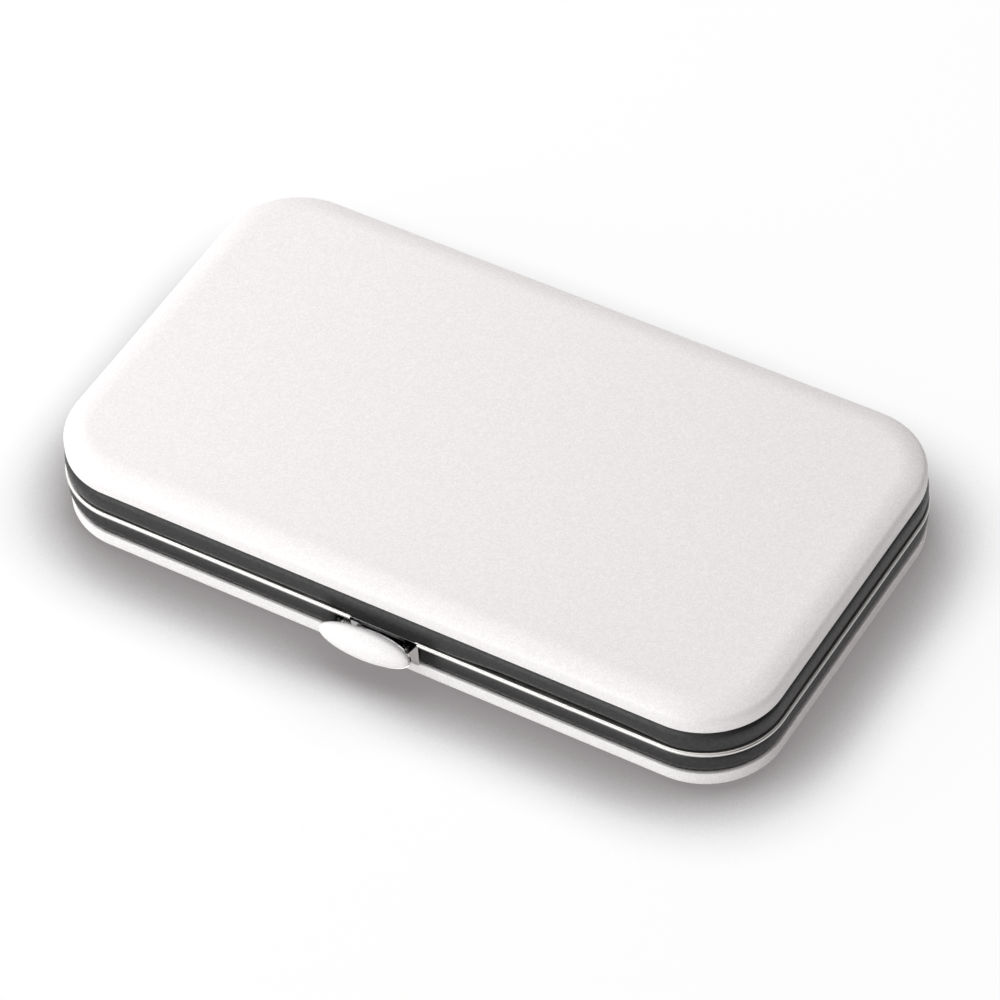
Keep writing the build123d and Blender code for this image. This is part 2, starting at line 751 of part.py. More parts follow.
# ---- nail file ----
lid_tool_level = panel_level - seat_clearance
with BuildPart() as nail_file:
    with BuildSketch(Plane(origin=(file_x, file_y, level(lid_tool_level)))):
        with BuildLine():
            half = file_width / 2
            Line((half, -half), (file_length - file_tip_length, -half))
            TangentArc((file_length - file_tip_length, -half), (file_length, 0), tangent=(1, 0))
            TangentArc((file_length - file_tip_length, half), (file_length, 0), tangent=(1, 0))
            Line((file_length - file_tip_length, half), (half, half))
            ThreePointArc((half, half), (0, 0), (half, -half))
        make_face()
        with Locations([(half, 0)]):
            Circle(file_hole_radius, mode=Mode.SUBTRACT)
    extrude(amount=-file_thickness)
save(nail_file, "nail_file")

# ---- cuticle pusher: turned grip with a spade at one end and a forked trimmer at the other ----
pusher_axis_level = lid_tool_level - pusher_radius
with BuildPart() as cuticle_pusher:
    axis_plane = Plane(origin=(pusher_x, pusher_y, level(pusher_axis_level)), x_dir=(1, 0, 0),
                       z_dir=(0, -1, 0))
    grip_start = pusher_spade_length + pusher_waist_length
    grip_end = pusher_length - grip_start
    turned_end = pusher_length - pusher_spade_length + pusher_waist
    with BuildSketch(axis_plane):
        with BuildLine():
            Polyline((pusher_spade_length - pusher_waist, 0),
                     (pusher_spade_length - pusher_waist, pusher_waist),
                     (pusher_spade_length, pusher_waist), (grip_start, pusher_radius),
                     (grip_end, pusher_radius), (turned_end - pusher_waist, pusher_waist),
                     (turned_end, pusher_waist), (turned_end, 0),
                     (pusher_spade_length - pusher_waist, 0))
        make_face()
    revolve(axis=Axis(axis_plane.origin, axis_plane.x_dir))
    flat_plane = Plane(origin=(pusher_x, pusher_y,
                               level(pusher_axis_level) - pusher_spade_thickness / 2))
    with BuildSketch(flat_plane):
        with Locations([(pusher_spade_half, 0)]):
            Circle(pusher_spade_half)
        with Locations([(pusher_spade_length, 0)]):
            Circle(pusher_waist)
        make_hull()
    extrude(amount=pusher_spade_thickness)
    with BuildSketch(flat_plane):
        with Locations([(pusher_length - pusher_fork_half, 0)]):
            Circle(pusher_fork_half)
        with Locations([(turned_end - pusher_waist, 0)]):
            Circle(pusher_waist)
        make_hull()
        closed_face([(pusher_length, -pusher_fork_half), (pusher_length - 2 * pusher_fork_half, 0),
                     (pusher_length, pusher_fork_half)])
    extrude(amount=pusher_spade_thickness)
    with BuildSketch(flat_plane):
        closed_face([(pusher_length, -fork_mouth_half), (pusher_length - pusher_fork_half, 0),
                     (pusher_length, fork_mouth_half)])
    extrude(amount=pusher_spade_thickness, mode=Mode.SUBTRACT)
save(cuticle_pusher, "cuticle_pusher")


# ---- tray with a pocket for each of the lower tools ----
with BuildPart() as lower_tray:
    tray_depth = tray_top_level - tray_bottom_level
    with BuildSketch(Plane.XY.offset(level(tray_bottom_level))):
        plan(lining_inset)
    extrude(amount=tray_depth)
    # shallow bed under the blades and the shanks
    with BuildSketch(Plane.XY.offset(level(scissor_level - seat_clearance))):
        with Locations([(scissor_x, scissor_y)]):
            Circle(blade_root + pocket_clearance)
        with Locations([(scissor_x + scissor_tip, scissor_y)]):
            Circle(pocket_clearance + pocket_round)
        make_hull()
    extrude(amount=tray_depth, mode=Mode.SUBTRACT)
    with BuildSketch(Plane.XY.offset(level(scissor_level - seat_clearance))):
        with Locations([(scissor_x, scissor_y)]):
            Circle(blade_root + pocket_clearance)
        with Locations([(scissor_x - scissor_ring_back, scissor_y + scissor_ring_side),
                        (scissor_x - scissor_ring_back, scissor_y - scissor_ring_side)]):
            Circle(ring_half_width + pocket_clearance)
        make_hull()
    extrude(amount=tray_depth, mode=Mode.SUBTRACT)
    # deeper well, so that fingers get under the rings
    well_length = 2 * (ring_half_length + pocket_clearance)
    well_width = 2 * (scissor_ring_side + ring_half_width + pocket_clearance)
    with BuildSketch(Plane.XY.offset(level(pocket_level))):
        with Locations([(scissor_x - scissor_ring_back, scissor_y)]):
            RectangleRounded(well_length, well_width, ring_half_width)
    extrude(amount=tray_depth, mode=Mode.SUBTRACT)
    # nail clipper
    with BuildSketch(Plane.XY.offset(level(pocket_level))):
        with Locations([(clipper_x, 0)]):
            RectangleRounded(clipper_width + 2 * pocket_clearance,
                             2 * (clipper_half_length + pocket_clearance), pocket_round)
    extrude(amount=tray_depth, mode=Mode.SUBTRACT)
    # tweezers
    with BuildSketch(Plane.XY.offset(level(pocket_level))):
        with Locations([(tweezer_x + tweezer_length / 2, tweezer_y)]):
            RectangleRounded(tweezer_length + 2 * pocket_clearance,
                             2 * (tweezer_spread + tweezer_leaf + pocket_clearance), pocket_round)
    extrude(amount=tray_depth, mode=Mode.SUBTRACT)
    # thumb scoops beside the tweezers and the clipper
    with BuildSketch(Plane.XY.offset(level(pocket_level))):
        with Locations([(tweezer_x + tweezer_length * scoop_place,
                         tweezer_y + tweezer_spread + tweezer_leaf)]):
            Circle(scoop_radius)
        with Locations([(clipper_x - clipper_width / 2, stud_place)]):
            Circle(scoop_radius)
    extrude(amount=tray_depth, mode=Mode.SUBTRACT)
save(lower_tray, "lower_tray")

# ---- lining board in the lid ----
with BuildPart() as upper_panel:
    with BuildSketch(Plane.XY.offset(level(panel_level))):
        plan(lining_inset)
    extrude(amount=panel_thickness)
    chamfer(upper_panel.faces().sort_by(Axis.Z)[0].edges(), panel_bevel)
save(upper_panel, "upper_panel")


# ---- elastic straps over the lid's tools ----
def strap_hump(centre, half, depth, cover):
    """Trapezoid that stands on the panel around a tool, grown by cover on every side."""
    closed_face([(centre - half - strap_slope - cover, level(panel_level)),
                 (centre - half - cover / 2, level(panel_level) - depth - cover),
                 (centre + half + cover / 2, level(panel_level) - depth - cover),
                 (centre + half + strap_slope + cover, level(panel_level))])


def make_strap(place):
    """Woven band stitched to the panel, arched over the pusher and the file."""
    humps = ((pusher_y, pusher_radius + strap_clearance,
              2 * pusher_radius + seat_clearance + strap_clearance),
             (file_y, file_width / 2 + strap_clearance,
              file_thickness + seat_clearance + strap_clearance))
    strap_low = humps[0][0] - humps[0][1] - strap_slope - strap_tail
    strap_high = humps[1][0] + humps[1][1] + strap_slope + strap_tail
    panel_face = level(panel_level)
    with BuildPart() as strap:
        with BuildSketch(Plane(origin=(place, 0, 0), x_dir=(0, 1, 0), z_dir=(1, 0, 0))):
            closed_face([(strap_low, panel_face), (strap_low, panel_face - strap_thickness),
                         (strap_high, panel_face - strap_thickness), (strap_high, panel_face)])
            for centre, half, depth in humps:
                strap_hump(centre, half, depth, strap_thickness)
            with BuildSketch(mode=Mode.SUBTRACT):
                for centre, half, depth in humps:
                    strap_hump(centre, half, depth, 0)
        extrude(amount=strap_width / 2, both=True)
    return strap


left_strap = make_strap(-strap_spacing / 2)
save(left_strap, "left_strap")
right_strap = make_strap(strap_spacing / 2)
save(right_strap, "right_strap")
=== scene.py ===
"""Looks of a slim manicure case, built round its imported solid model.

The case is two pressed covers on metal rims, each with a grained bead beside the seam, a sprung
clasp at the front and a rolled hinge at the back. Inside are a flocked tray and a lining panel
that hold the tools. Sizes are in millimetres and turn into metres when a mesh is made. Axes: +X
along the case, -Y the clasp side, +Y the hinge side, +Z up; levels are measured from the middle.
"""

import logging
import math
from collections.abc import Mapping, Sequence
from dataclasses import dataclass, field
from enum import Enum
from typing import Any

import bmesh
import bpy
import numpy as np
from mathutils import Matrix, Vector


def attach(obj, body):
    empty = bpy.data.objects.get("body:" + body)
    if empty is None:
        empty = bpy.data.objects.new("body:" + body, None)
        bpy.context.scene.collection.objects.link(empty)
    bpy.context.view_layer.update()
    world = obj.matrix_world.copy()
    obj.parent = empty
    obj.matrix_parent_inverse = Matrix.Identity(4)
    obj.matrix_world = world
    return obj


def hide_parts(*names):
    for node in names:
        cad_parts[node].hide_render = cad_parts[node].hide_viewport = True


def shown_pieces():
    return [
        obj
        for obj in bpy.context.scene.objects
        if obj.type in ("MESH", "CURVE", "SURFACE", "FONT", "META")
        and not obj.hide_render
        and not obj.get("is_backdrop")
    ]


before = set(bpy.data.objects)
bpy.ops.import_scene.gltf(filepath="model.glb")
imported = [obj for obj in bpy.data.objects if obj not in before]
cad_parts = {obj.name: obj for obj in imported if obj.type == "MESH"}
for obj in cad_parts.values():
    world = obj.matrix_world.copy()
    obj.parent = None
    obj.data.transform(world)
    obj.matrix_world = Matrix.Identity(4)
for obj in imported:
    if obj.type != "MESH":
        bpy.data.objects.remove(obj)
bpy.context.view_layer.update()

MM = 0.001
MID_HEIGHT = 7.63674
PANEL_LEVEL = 5.88674
FULL_TURN = 270
BAND_MAP = "band"
LOG = logging.getLogger("manicure_case")

Array = np.ndarray
Colour = tuple[float, float, float]


class Body(Enum):
    """Moving bodies of the case."""

    LOWER = "lower_half"
    LID = "lid"
    LATCH = "latch"


# ---------------------------------------------------------------- shader graphs
class Value:
    """Number on a shader socket; arithmetic on it adds Math nodes."""

    def __init__(self, graph: "Graph", socket: bpy.types.NodeSocket) -> None:
        """Keep the graph and the socket."""
        self.graph = graph
        self.socket = socket

    def math(self, operation: str, *others: "Value | float") -> "Value":
        """Apply a Math operation with this value as its first input.

        Args:
            operation: name of the Math node's operation.
            others: the further inputs.

        Returns:
            The result of the node.
        """
        inputs = dict(enumerate((self, *others)))
        made = self.graph.node("ShaderNodeMath", {"operation": operation}, inputs)
        return Value(self.graph, made.outputs[0])

    def _flip(self, operation: str, other: "Value | float") -> "Value":
        """Apply an operation with this value as its second input."""
        made = self.graph.node("ShaderNodeMath", {"operation": operation}, {0: other, 1: self})
        return Value(self.graph, made.outputs[0])

    def __add__(self, other: "Value | float") -> "Value":
        """Sum."""
        return self.math("ADD", other)

    def __radd__(self, other: float) -> "Value":
        """Sum, reflected."""
        return self._flip("ADD", other)

    def __sub__(self, other: "Value | float") -> "Value":
        """Difference."""
        return self.math("SUBTRACT", other)

    def __rsub__(self, other: float) -> "Value":
        """Difference, reflected."""
        return self._flip("SUBTRACT", other)

    def __mul__(self, other: "Value | float") -> "Value":
        """Product."""
        return self.math("MULTIPLY", other)

    def __rmul__(self, other: float) -> "Value":
        """Product, reflected."""
        return self._flip("MULTIPLY", other)

    def wave(self, length: float) -> "Value":
        """Sine wave along this value, from 0 to 1, with a wavelength in millimetres."""
        return (self * (math.tau / (length * MM))).math("SINE") * 0.5 + 0.5

    def ramp(self, low: float, high: float, start: float = 0.0, end: float = 1.0) -> "Value":
        """Map low..high smoothly to start..end.

        Args:
            low: value that gives start.
            high: value that gives end.
            start: result at low.
            end: result at high.

        Returns:
            The mapped value, held at its ends.
        """
        made = self.graph.node("ShaderNodeMapRange", {"interpolation_type": "SMOOTHSTEP"},
                               {"Value": self, "From Min": low, "From Max": high,
                                "To Min": start, "To Max": end})
        return Value(self.graph, made.outputs[0])


class Graph:
    """Node tree of a material or of the world."""

    def __init__(self, owner: bpy.types.Material | bpy.types.World) -> None:
        """Start an empty tree.

        Args:
            owner: material or world that the tree belongs to.
        """
        owner.use_nodes = True
        self.tree = owner.node_tree
        self.tree.nodes.clear()

    def node(self, kind: str, settings: Mapping[str, Any] | None = None,
             inputs: Mapping[int | str, Any] | None = None) -> bpy.types.Node:
        """Add one node.

        Args:
            kind: Blender's type of the node.
            settings: properties that are set first; "stops" holds a ramp's (place, colour) pairs.
            inputs: values or links for sockets, by index, name or identifier.

        Returns:
            The node.
        """
        made = self.tree.nodes.new(kind)
        for key, value in (settings or {}).items():
            if key == "stops":
                self._fill_ramp(made, value)
            else:
                setattr(made, key, value)
        for key, value in (inputs or {}).items():
            self._feed(self._find(made, key), value)
        return made

    @staticmethod
    def _fill_ramp(made: bpy.types.Node, stops: Sequence[tuple[float, Colour]]) -> None:
        """Give a colour ramp its stops.

        Args:
            made: the ramp's node.
            stops: place and colour of each stop, in order.
        """
        elements = made.color_ramp.elements
        while len(elements) < len(stops):
            elements.new(1.0)
        for element, (place, colour) in zip(elements, stops):
            element.position = place
            element.color = (*colour, 1.0)

    @staticmethod
    def _find(made: bpy.types.Node, key: int | str) -> bpy.types.NodeSocket:
        """Find an input socket.

        Args:
            made: the node.
            key: index, identifier or name of the socket.

        Returns:
            The socket; an identifier goes before a name.
        """
        if isinstance(key, int):
            return made.inputs[key]
        found = [s for s in made.inputs if s.identifier == key] or [
            s for s in made.inputs if s.name == key]
        return found[0]

    def _feed(self, socket: bpy.types.NodeSocket, value: Any) -> None:
        """Link or set one input.

        Args:
            socket: the input.
            value: a value or socket to link, or the number or colour to set.
        """
        if isinstance(value, Value):
            value = value.socket
        if isinstance(value, bpy.types.NodeSocket):
            self.tree.links.new(value, socket)
        elif socket.type == "RGBA" and len(value) == 3:
            socket.default_value = (*value, 1.0)
        else:
            socket.default_value = value

    def place(self, stretch: Colour = (1.0, 1.0, 1.0), turn: Colour = (0.0, 0.0, 0.0)
              ) -> bpy.types.NodeSocket:
        """Object coordinates, turned and then stretched.

        Args:
            stretch: factor along each axis.
            turn: turn about each axis, in degrees.

        Returns:
            The vector socket.
        """
        coordinates = self.node("ShaderNodeTexCoord").outputs["Object"]
        turned = self.node("ShaderNodeMapping", {"vector_type": "POINT"},
                           {"Vector": coordinates, "Rotation": tuple(math.radians(t) for t in turn)})
        return self.node("ShaderNodeMapping", {"vector_type": "POINT"},
                         {"Vector": turned.outputs[0], "Scale": stretch}).outputs[0]

    def split(self, vector: bpy.types.NodeSocket | None = None) -> list[Value]:
        """Split a vector.

        Args:
            vector: the vector, or None for Object coordinates.

        Returns:
            Its parts along X, Y and Z.
        """
        vector = vector or self.node("ShaderNodeTexCoord").outputs["Object"]
        parts = self.node("ShaderNodeSeparateXYZ", None, {0: vector})
        return [Value(self, socket) for socket in parts.outputs]

    def noise(self, size: float, detail: float = 2.0, rough: float = 0.5,
              where: bpy.types.NodeSocket | None = None) -> Value:
        """Noise with features of a size in millimetres, from 0 to 1."""
        made = self.node("ShaderNodeTexNoise", None,
                         {"Vector": where or self.place(), "Scale": 1.0 / (size * MM),
                          "Detail": detail, "Roughness": rough})
        return Value(self, made.outputs["Fac"])

    def cells(self, size: float, feature: str = "F1", output: str = "Distance") -> Value:
        """Cell pattern with cells of a size in millimetres.

        Args:
            size: width of a cell.
            feature: Blender's name of what is measured.
            output: output socket that is read.

        Returns:
            The value of that output.
        """
        made = self.node("ShaderNodeTexVoronoi", {"feature": feature},
                         {"Vector": self.place(), "Scale": 1.0 / (size * MM)})
        return Value(self, made.outputs[output])

    def blend(self, share: Value | float, first: Any, second: Any) -> bpy.types.NodeSocket:
        """Colour between two colours, first at share 0 and second at 1."""
        made = self.node("ShaderNodeMix", {"data_type": "RGBA"},
                         {"Factor_Float": share, "A_Color": first, "B_Color": second})
        return [s for s in made.outputs if s.identifier == "Result_Color"][0]

    def bump(self, height: Value, depth: float) -> bpy.types.NodeSocket:
        """Normal of a surface raised by a height from 0 to 1 times a depth in millimetres."""
        return self.node("ShaderNodeBump", None,
                         {"Height": height, "Distance": depth * MM, "Strength": 1.0}).outputs[0]

    def finish(self, **sockets: Any) -> None:
        """End a material in a Principled shader, with its sockets given by name with _ for spaces."""
        shader = self.node("ShaderNodeBsdfPrincipled", None,
                           {name.replace("_", " "): value for name, value in sockets.items()})
        self.node("ShaderNodeOutputMaterial", None, {"Surface": shader.outputs[0]})


# ---------------------------------------------------------------- finishes
def scaled(colour: Colour, factor: float) -> Colour:
    """Colour times a factor."""
    return tuple(c * factor for c in colour)


@dataclass(frozen=True)
class Finish:
    """Surface finish of some pieces, with the record's material slot.

    The colour drifts between dark and light times itself, and sizes and depths are in millimetres.
    """

    name: str
    slot: str
    colour: Colour = (0.8, 0.8, 0.8)
    dark: float = 0.9
    light: float = 1.0

    def shade(self, graph: Graph) -> None:
        """Build the nodes; each finish has its own."""
        raise NotImplementedError

    def tone(self, graph: Graph, share: Value) -> bpy.types.NodeSocket:
        """Colour from the finish's dark tone at share 0 to its light tone at share 1."""
        return graph.blend(share, scaled(self.colour, self.dark), scaled(self.colour, self.light))

    def material(self) -> bpy.types.Material:
        """Make the finish's material, once.

        Returns:
            The material, which later pieces share.
        """
        found = bpy.data.materials.get(self.name)
        if found is None:
            found = bpy.data.materials.new(self.name)
            self.shade(Graph(found))
        return found

    def dress(self, piece: bpy.types.Object) -> None:
        """Put the finish on a piece."""
        piece.data.materials.clear()
        piece.data.materials.append(self.material())


@dataclass(frozen=True)
class SatinEnamel(Finish):
    """White satin enamel with a fine pearly grain."""

    colour: Colour = (0.859, 0.843, 0.838)
    roughness: float = 0.4
    grain: float = 0.22
    flake: float = 0.8
    drift: float = 14.0
    depth: float = 0.012
    dark: float = 0.94
    light: float = 1.05

    def shade(self, graph: Graph) -> None:
        """Grain = fine noise and tiny flakes; roughness and tone drift a little with them.

        Args:
            graph: nodes of the material.
        """
        grain = graph.noise(self.grain, 2.0, 0.6)
        flake = graph.cells(self.grain * self.flake, output="Color")
        drift = graph.noise(self.drift, 2.0)
        graph.finish(Base_Color=self.tone(graph, flake.ramp(0.2, 0.9)),
                     Roughness=self.roughness + 0.08 * (grain - 0.5) + 0.05 * (drift - 0.5),
                     Normal=graph.bump(grain, self.depth), Specular_IOR_Level=0.5)


@dataclass(frozen=True)
class GrainedVinyl(Finish):
    """Dark grained band with rounded leather cells, and a painted shade over the clasp."""

    colour: Colour = (0.013, 0.0132, 0.0135)
    cell: float = 0.45
    wrinkle: float = 0.18
    depth: float = 0.012
    roughness: float = 0.33
    dark: float = 0.6
    light: float = 1.35
    # painted shade over the clasp: its near-black colour, added roughness, middle along X, half
    # length, fade, top level and blur
    painted_shade_colour: Colour = (0.002, 0.002, 0.002)
    painted_shade_dull: float = 0.42
    painted_shade_place: float = 0.8
    painted_shade_half: float = 7.4
    painted_shade_fade: float = 3.0
    painted_shade_level: float = 10.3
    painted_shade_blur: float = 0.9

    def patch(self, graph: Graph) -> Value:
        """Work out the painted shade over the clasp, which stands in for the recess's shade and dark
        reflection.

        Args:
            graph: nodes of the material.

        Returns:
            Share of the patch, 1 on the front within its half length and below its level.
        """
        along, across, up = graph.split()
        far = (along - self.painted_shade_place * MM).math("ABSOLUTE")
        inside = far.ramp(self.painted_shade_half * MM, (self.painted_shade_half + self.painted_shade_fade) * MM, 1.0, 0.0)
        low = up.ramp((self.painted_shade_level - self.painted_shade_blur) * MM,
                      (self.painted_shade_level + self.painted_shade_blur) * MM, 1.0, 0.0)
        return inside * low * across.ramp(-2.0 * MM, 0.0, 1.0, 0.0)

    def shade(self, graph: Graph) -> None:
        """Height = cell distance with the creases low, plus a finer wrinkle.

        Args:
            graph: nodes of the material.
        """
        # painted shade: over the clasp the base colour goes near-black and the roughness rises
        patch = self.patch(graph)
        cell = graph.cells(self.cell, "SMOOTH_F1")
        wrinkle = graph.noise(self.wrinkle, 3.0, 0.6)
        height = (1.0 - cell.ramp(0.15, 0.75)) * 0.75 + wrinkle * 0.25
        graph.finish(Base_Color=graph.blend(patch, self.tone(graph, height), self.painted_shade_colour),
                     Roughness=self.roughness + 0.14 * (1.0 - height) + self.painted_shade_dull * patch,
                     Normal=graph.bump(height, self.depth))


@dataclass(frozen=True)
class BrushedMetal(Finish):
    """Metal with fine brush lines along one direction and a little wear."""

    colour: Colour = (0.86, 0.86, 0.85)
    roughness: float = 0.24
    depth: float = 0.004
    stretch: Colour = (0.12, 1.0, 1.0)
    turn: Colour = (0.0, 0.0, 0.0)
    line: float = 0.16
    patch: float = 5.0
    dull: float = 0.12

    def shade(self, graph: Graph) -> None:
        """Lines = noise stretched along the brush; roughness rises on them and in dull patches.

        Args:
            graph: nodes of the material.
        """
        lines = graph.noise(self.line, 3.0, 0.6, graph.place(self.stretch, self.turn))
        patch = graph.noise(self.patch, 3.0, 0.6)
        graph.finish(Base_Color=self.tone(graph, lines), Metallic=1.0,
                     Roughness=self.roughness + self.dull * (lines - 0.5)
                     + self.dull * patch.ramp(0.45, 0.75),
                     Normal=graph.bump(lines, self.depth))


@dataclass(frozen=True)
class DarkSheet(Finish):
    """Black lacquered sheet, rubbed a little."""

    colour: Colour = (0.012, 0.012, 0.013)
    rubbed: Colour = (0.0304, 0.0304, 0.0326)
    rub: float = 1.2
    fine: float = 0.1
    depth: float = 0.003
    roughness: float = 0.22

    def shade(self, graph: Graph) -> None:
        """Rub = patches of noise that lighten the black and dull it.

        Args:
            graph: nodes of the material.
        """
        rub = graph.noise(self.rub, 4.0, 0.65).ramp(0.5, 0.8)
        fine = graph.noise(self.fine, 2.0)
        graph.finish(Base_Color=graph.blend(rub, self.colour, self.rubbed),
                     Roughness=self.roughness + 0.2 * rub, Normal=graph.bump(fine, self.depth))


@dataclass(frozen=True)
class Flock(Finish):
    """Short upright fibres glued on a moulded tray."""

    colour: Colour = (0.020, 0.021, 0.023)
    fibre: float = 0.3
    nap: float = 5.0
    depth: float = 0.14
    dark: float = 0.35
    light: float = 2.4

    def shade(self, graph: Graph) -> None:
        """Fibres = very fine noise; brushed patches come from a broad noise.

        Args:
            graph: nodes of the material.
        """
        fibre = graph.noise(self.fibre, 4.0, 0.75)
        nap = graph.noise(self.nap, 3.0, 0.6)
        share = fibre.ramp(0.3, 0.72) * 0.65 + nap.ramp(0.3, 0.7) * 0.35
        graph.finish(Base_Color=self.tone(graph, share), Roughness=0.92,
                     Normal=graph.bump(fibre, self.depth), Sheen_Weight=0.35, Sheen_Roughness=0.45)


@dataclass(frozen=True)
class LiningSkin(Finish):
    """Leather-grained paper that covers the lining board."""

    colour: Colour = (0.024, 0.024, 0.026)
    cell: float = 0.9
    wrinkle: float = 0.2
    depth: float = 0.05
    roughness: float = 0.62
    dark: float = 0.6
    light: float = 1.3

    def shade(self, graph: Graph) -> None:
        """Height = small leather cells with creases between them.

        Args:
            graph: nodes of the material.
        """
        cell = graph.cells(self.cell, "SMOOTH_F1")
        wrinkle = graph.noise(self.wrinkle, 3.0, 0.6)
        height = (1.0 - cell.ramp(0.1, 0.8)) * 0.8 + wrinkle * 0.2
        graph.finish(Base_Color=self.tone(graph, height), Roughness=self.roughness - 0.12 * height,
                     Normal=graph.bump(height, self.depth))


@dataclass(frozen=True)
class WovenElastic(Finish):
    """Black woven elastic band, with ribs across it and fine threads along it."""

    colour: Colour = (0.022, 0.022, 0.024)
    rib: float = 0.55
    thread: float = 0.32
    fuzz: float = 0.08
    depth: float = 0.09
    dark: float = 0.45
    light: float = 2.2

    def shade(self, graph: Graph) -> None:
        """Height = ribs along the band's length times threads across it, from its own UV map.

        Args:
            graph: nodes of the material.
        """
        along, across, _ = graph.split(graph.node("ShaderNodeUVMap", {"uv_map": BAND_MAP}).outputs[0])
        ribs = along.wave(self.rib)
        height = ribs * 0.6 + ribs * across.wave(self.thread) * 0.4
        fuzz = graph.noise(self.fuzz, 2.0)
        graph.finish(Base_Color=self.tone(graph, height * 0.8 + fuzz * 0.2), Roughness=0.78,
                     Normal=graph.bump(height, self.depth))


@dataclass(frozen=True)
class FileGrit(Finish):
    """Steel nail file with cross-cut teeth over its face."""

    colour: Colour = (0.62, 0.62, 0.63)
    pitch: float = 0.5
    root: float = -37.0
    root_fade: float = 1.0
    depth: float = 0.06
    dark: float = 0.55

    def shade(self, graph: Graph) -> None:
        """Teeth = two crossed sets of fine ridges, left off a smooth band at the root.

        Args:
            graph: nodes of the material.
        """
        along, across, _ = graph.split()
        first, second = (along + across).wave(self.pitch), (along - across).wave(self.pitch)
        cut = along.ramp(self.root * MM, (self.root + self.root_fade) * MM)
        height = first.math("MAXIMUM", second) * cut
        graph.finish(Base_Color=self.tone(graph, height), Metallic=1.0,
                     Roughness=0.3 + 0.2 * cut, Normal=graph.bump(height, self.depth))


class Finishes:
    """Every finish of the case."""

    COVER = SatinEnamel("satin_white_enamel", "cover")
    TAB = SatinEnamel("satin_white_tab", "clasp_tab", grain=0.15, depth=0.004, roughness=0.34)
    BEAD = GrainedVinyl("grained_band", "bead")
    RIM = BrushedMetal("brushed_rim", "rim_metal", colour=(0.86, 0.845, 0.82), roughness=0.3,
                       turn=(0.0, 0.0, 25.0))
    HINGE = BrushedMetal("plated_hinge", "hinge_metal", colour=(0.75, 0.75, 0.74), roughness=0.2)
    CATCH = BrushedMetal("plated_catch", "clasp_metal", colour=(0.72, 0.72, 0.71))
    HOUSING = DarkSheet("black_housing", "clasp_housing")
    LEVER = BrushedMetal("chrome_lever", "clasp_lever", colour=(0.8, 0.8, 0.81), roughness=0.1,
                         depth=0.001, dull=0.06)
    PIN = BrushedMetal("bright_pin", "pin_metal", roughness=0.15)
    SPRING = BrushedMetal("spring_wire", "spring_wire", roughness=0.14, depth=0.001)
    TRAY = Flock("black_flock", "flocked_tray")
    PANEL = LiningSkin("lining_skin", "lid_panel")
    STRAP = WovenElastic("woven_elastic", "strap")
    STEEL = BrushedMetal("polished_tool_steel", "tool_steel", colour=(0.78, 0.78, 0.79),
                         roughness=0.13, depth=0.0015, dull=0.08)
    FASTENER = BrushedMetal("turned_fastener", "tool_fastener", colour=(0.7, 0.7, 0.71),
                            roughness=0.2)
    FILE = FileGrit("cut_file_steel", "file_steel")


# ---------------------------------------------------------------- meshes
class Sheet:
    """Grid of points that becomes a mesh, with its rows joined by quads."""

    def __init__(self, points: Array, wrap_rows: bool = False, wrap_columns: bool = False) -> None:
        """Keep the grid.

        Args:
            points: rows by columns by 3, in millimetres.
            wrap_rows: whether the last row joins the first.
            wrap_columns: whether the last column joins the first.
        """
        self.points = points
        rows, columns = points.shape[:2]
        index = np.arange(rows * columns).reshape(rows, columns)
        if wrap_rows:
            index = np.vstack((index, index[:1]))
        if wrap_columns:
            index = np.hstack((index, index[:, :1]))
        self.faces = np.stack((index[:-1, :-1], index[1:, :-1], index[1:, 1:], index[:-1, 1:]),
                              axis=-1).reshape(-1, 4)

    @property
    def flat(self) -> Array:
        """Points as one list."""
        return self.points.reshape(-1, 3)


def cap(ring: Array) -> Sheet:
    """Close a ring of points with a fan to its middle."""
    return Sheet(np.stack((ring, np.broadcast_to(ring.mean(0), ring.shape))), wrap_columns=True)


def make_piece(name: str, sheets: Sequence[Sheet], body: Body, finish: Finish,
               replaces: Sequence[str] = (), sharp: float = 40.0, uv: Array | None = None
               ) -> bpy.types.Object:
    """Make one piece out of sheets, joined where their points meet.

    Args:
        name: name of the piece.
        sheets: its surfaces.
        body: body that it rides on.
        finish: its finish.
        replaces: solid model nodes that it stands for.
        sharp: angle in degrees above which an edge stays crisp.
        uv: band coordinates of the points, in metres, where a pattern follows the surface.

    Returns:
        The piece.
    """
    starts = np.cumsum([0] + [len(s.flat) for s in sheets])
    points = np.vstack([s.flat for s in sheets]) * MM
    faces = np.vstack([s.faces + start for s, start in zip(sheets, starts)])
    mesh = bpy.data.meshes.new(name)
    mesh.from_pydata(points, [], faces)
    if uv is not None:
        layer = mesh.uv_layers.new(name=BAND_MAP)
        layer.data.foreach_set("uv", uv[faces.ravel()].astype(np.float32).ravel())
    join_and_orient(mesh)
    return finish_piece(mesh, body, finish, replaces, sharp)


def finish_piece(mesh: bpy.types.Mesh, body: Body, finish: Finish, replaces: Sequence[str],
                 sharp: float) -> bpy.types.Object:
    """Smooth a mesh apart from its sharp edges, dress it, hang it on its body and hide the nodes that
    it stands for.

    Args:
        mesh: mesh with the piece's name.
        body: body that it rides on.
        finish: its finish.
        replaces: solid model nodes that it stands for.
        sharp: angle in degrees above which an edge stays crisp.

    Returns:
        The piece.
    """
    mesh.shade_smooth()
    mesh.set_sharp_from_angle(angle=math.radians(sharp))
    piece = bpy.data.objects.new(mesh.name, mesh)
    bpy.context.scene.collection.objects.link(piece)
    finish.dress(piece)
    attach(piece, body.value)
    if replaces:
        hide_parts(*replaces)
    return piece


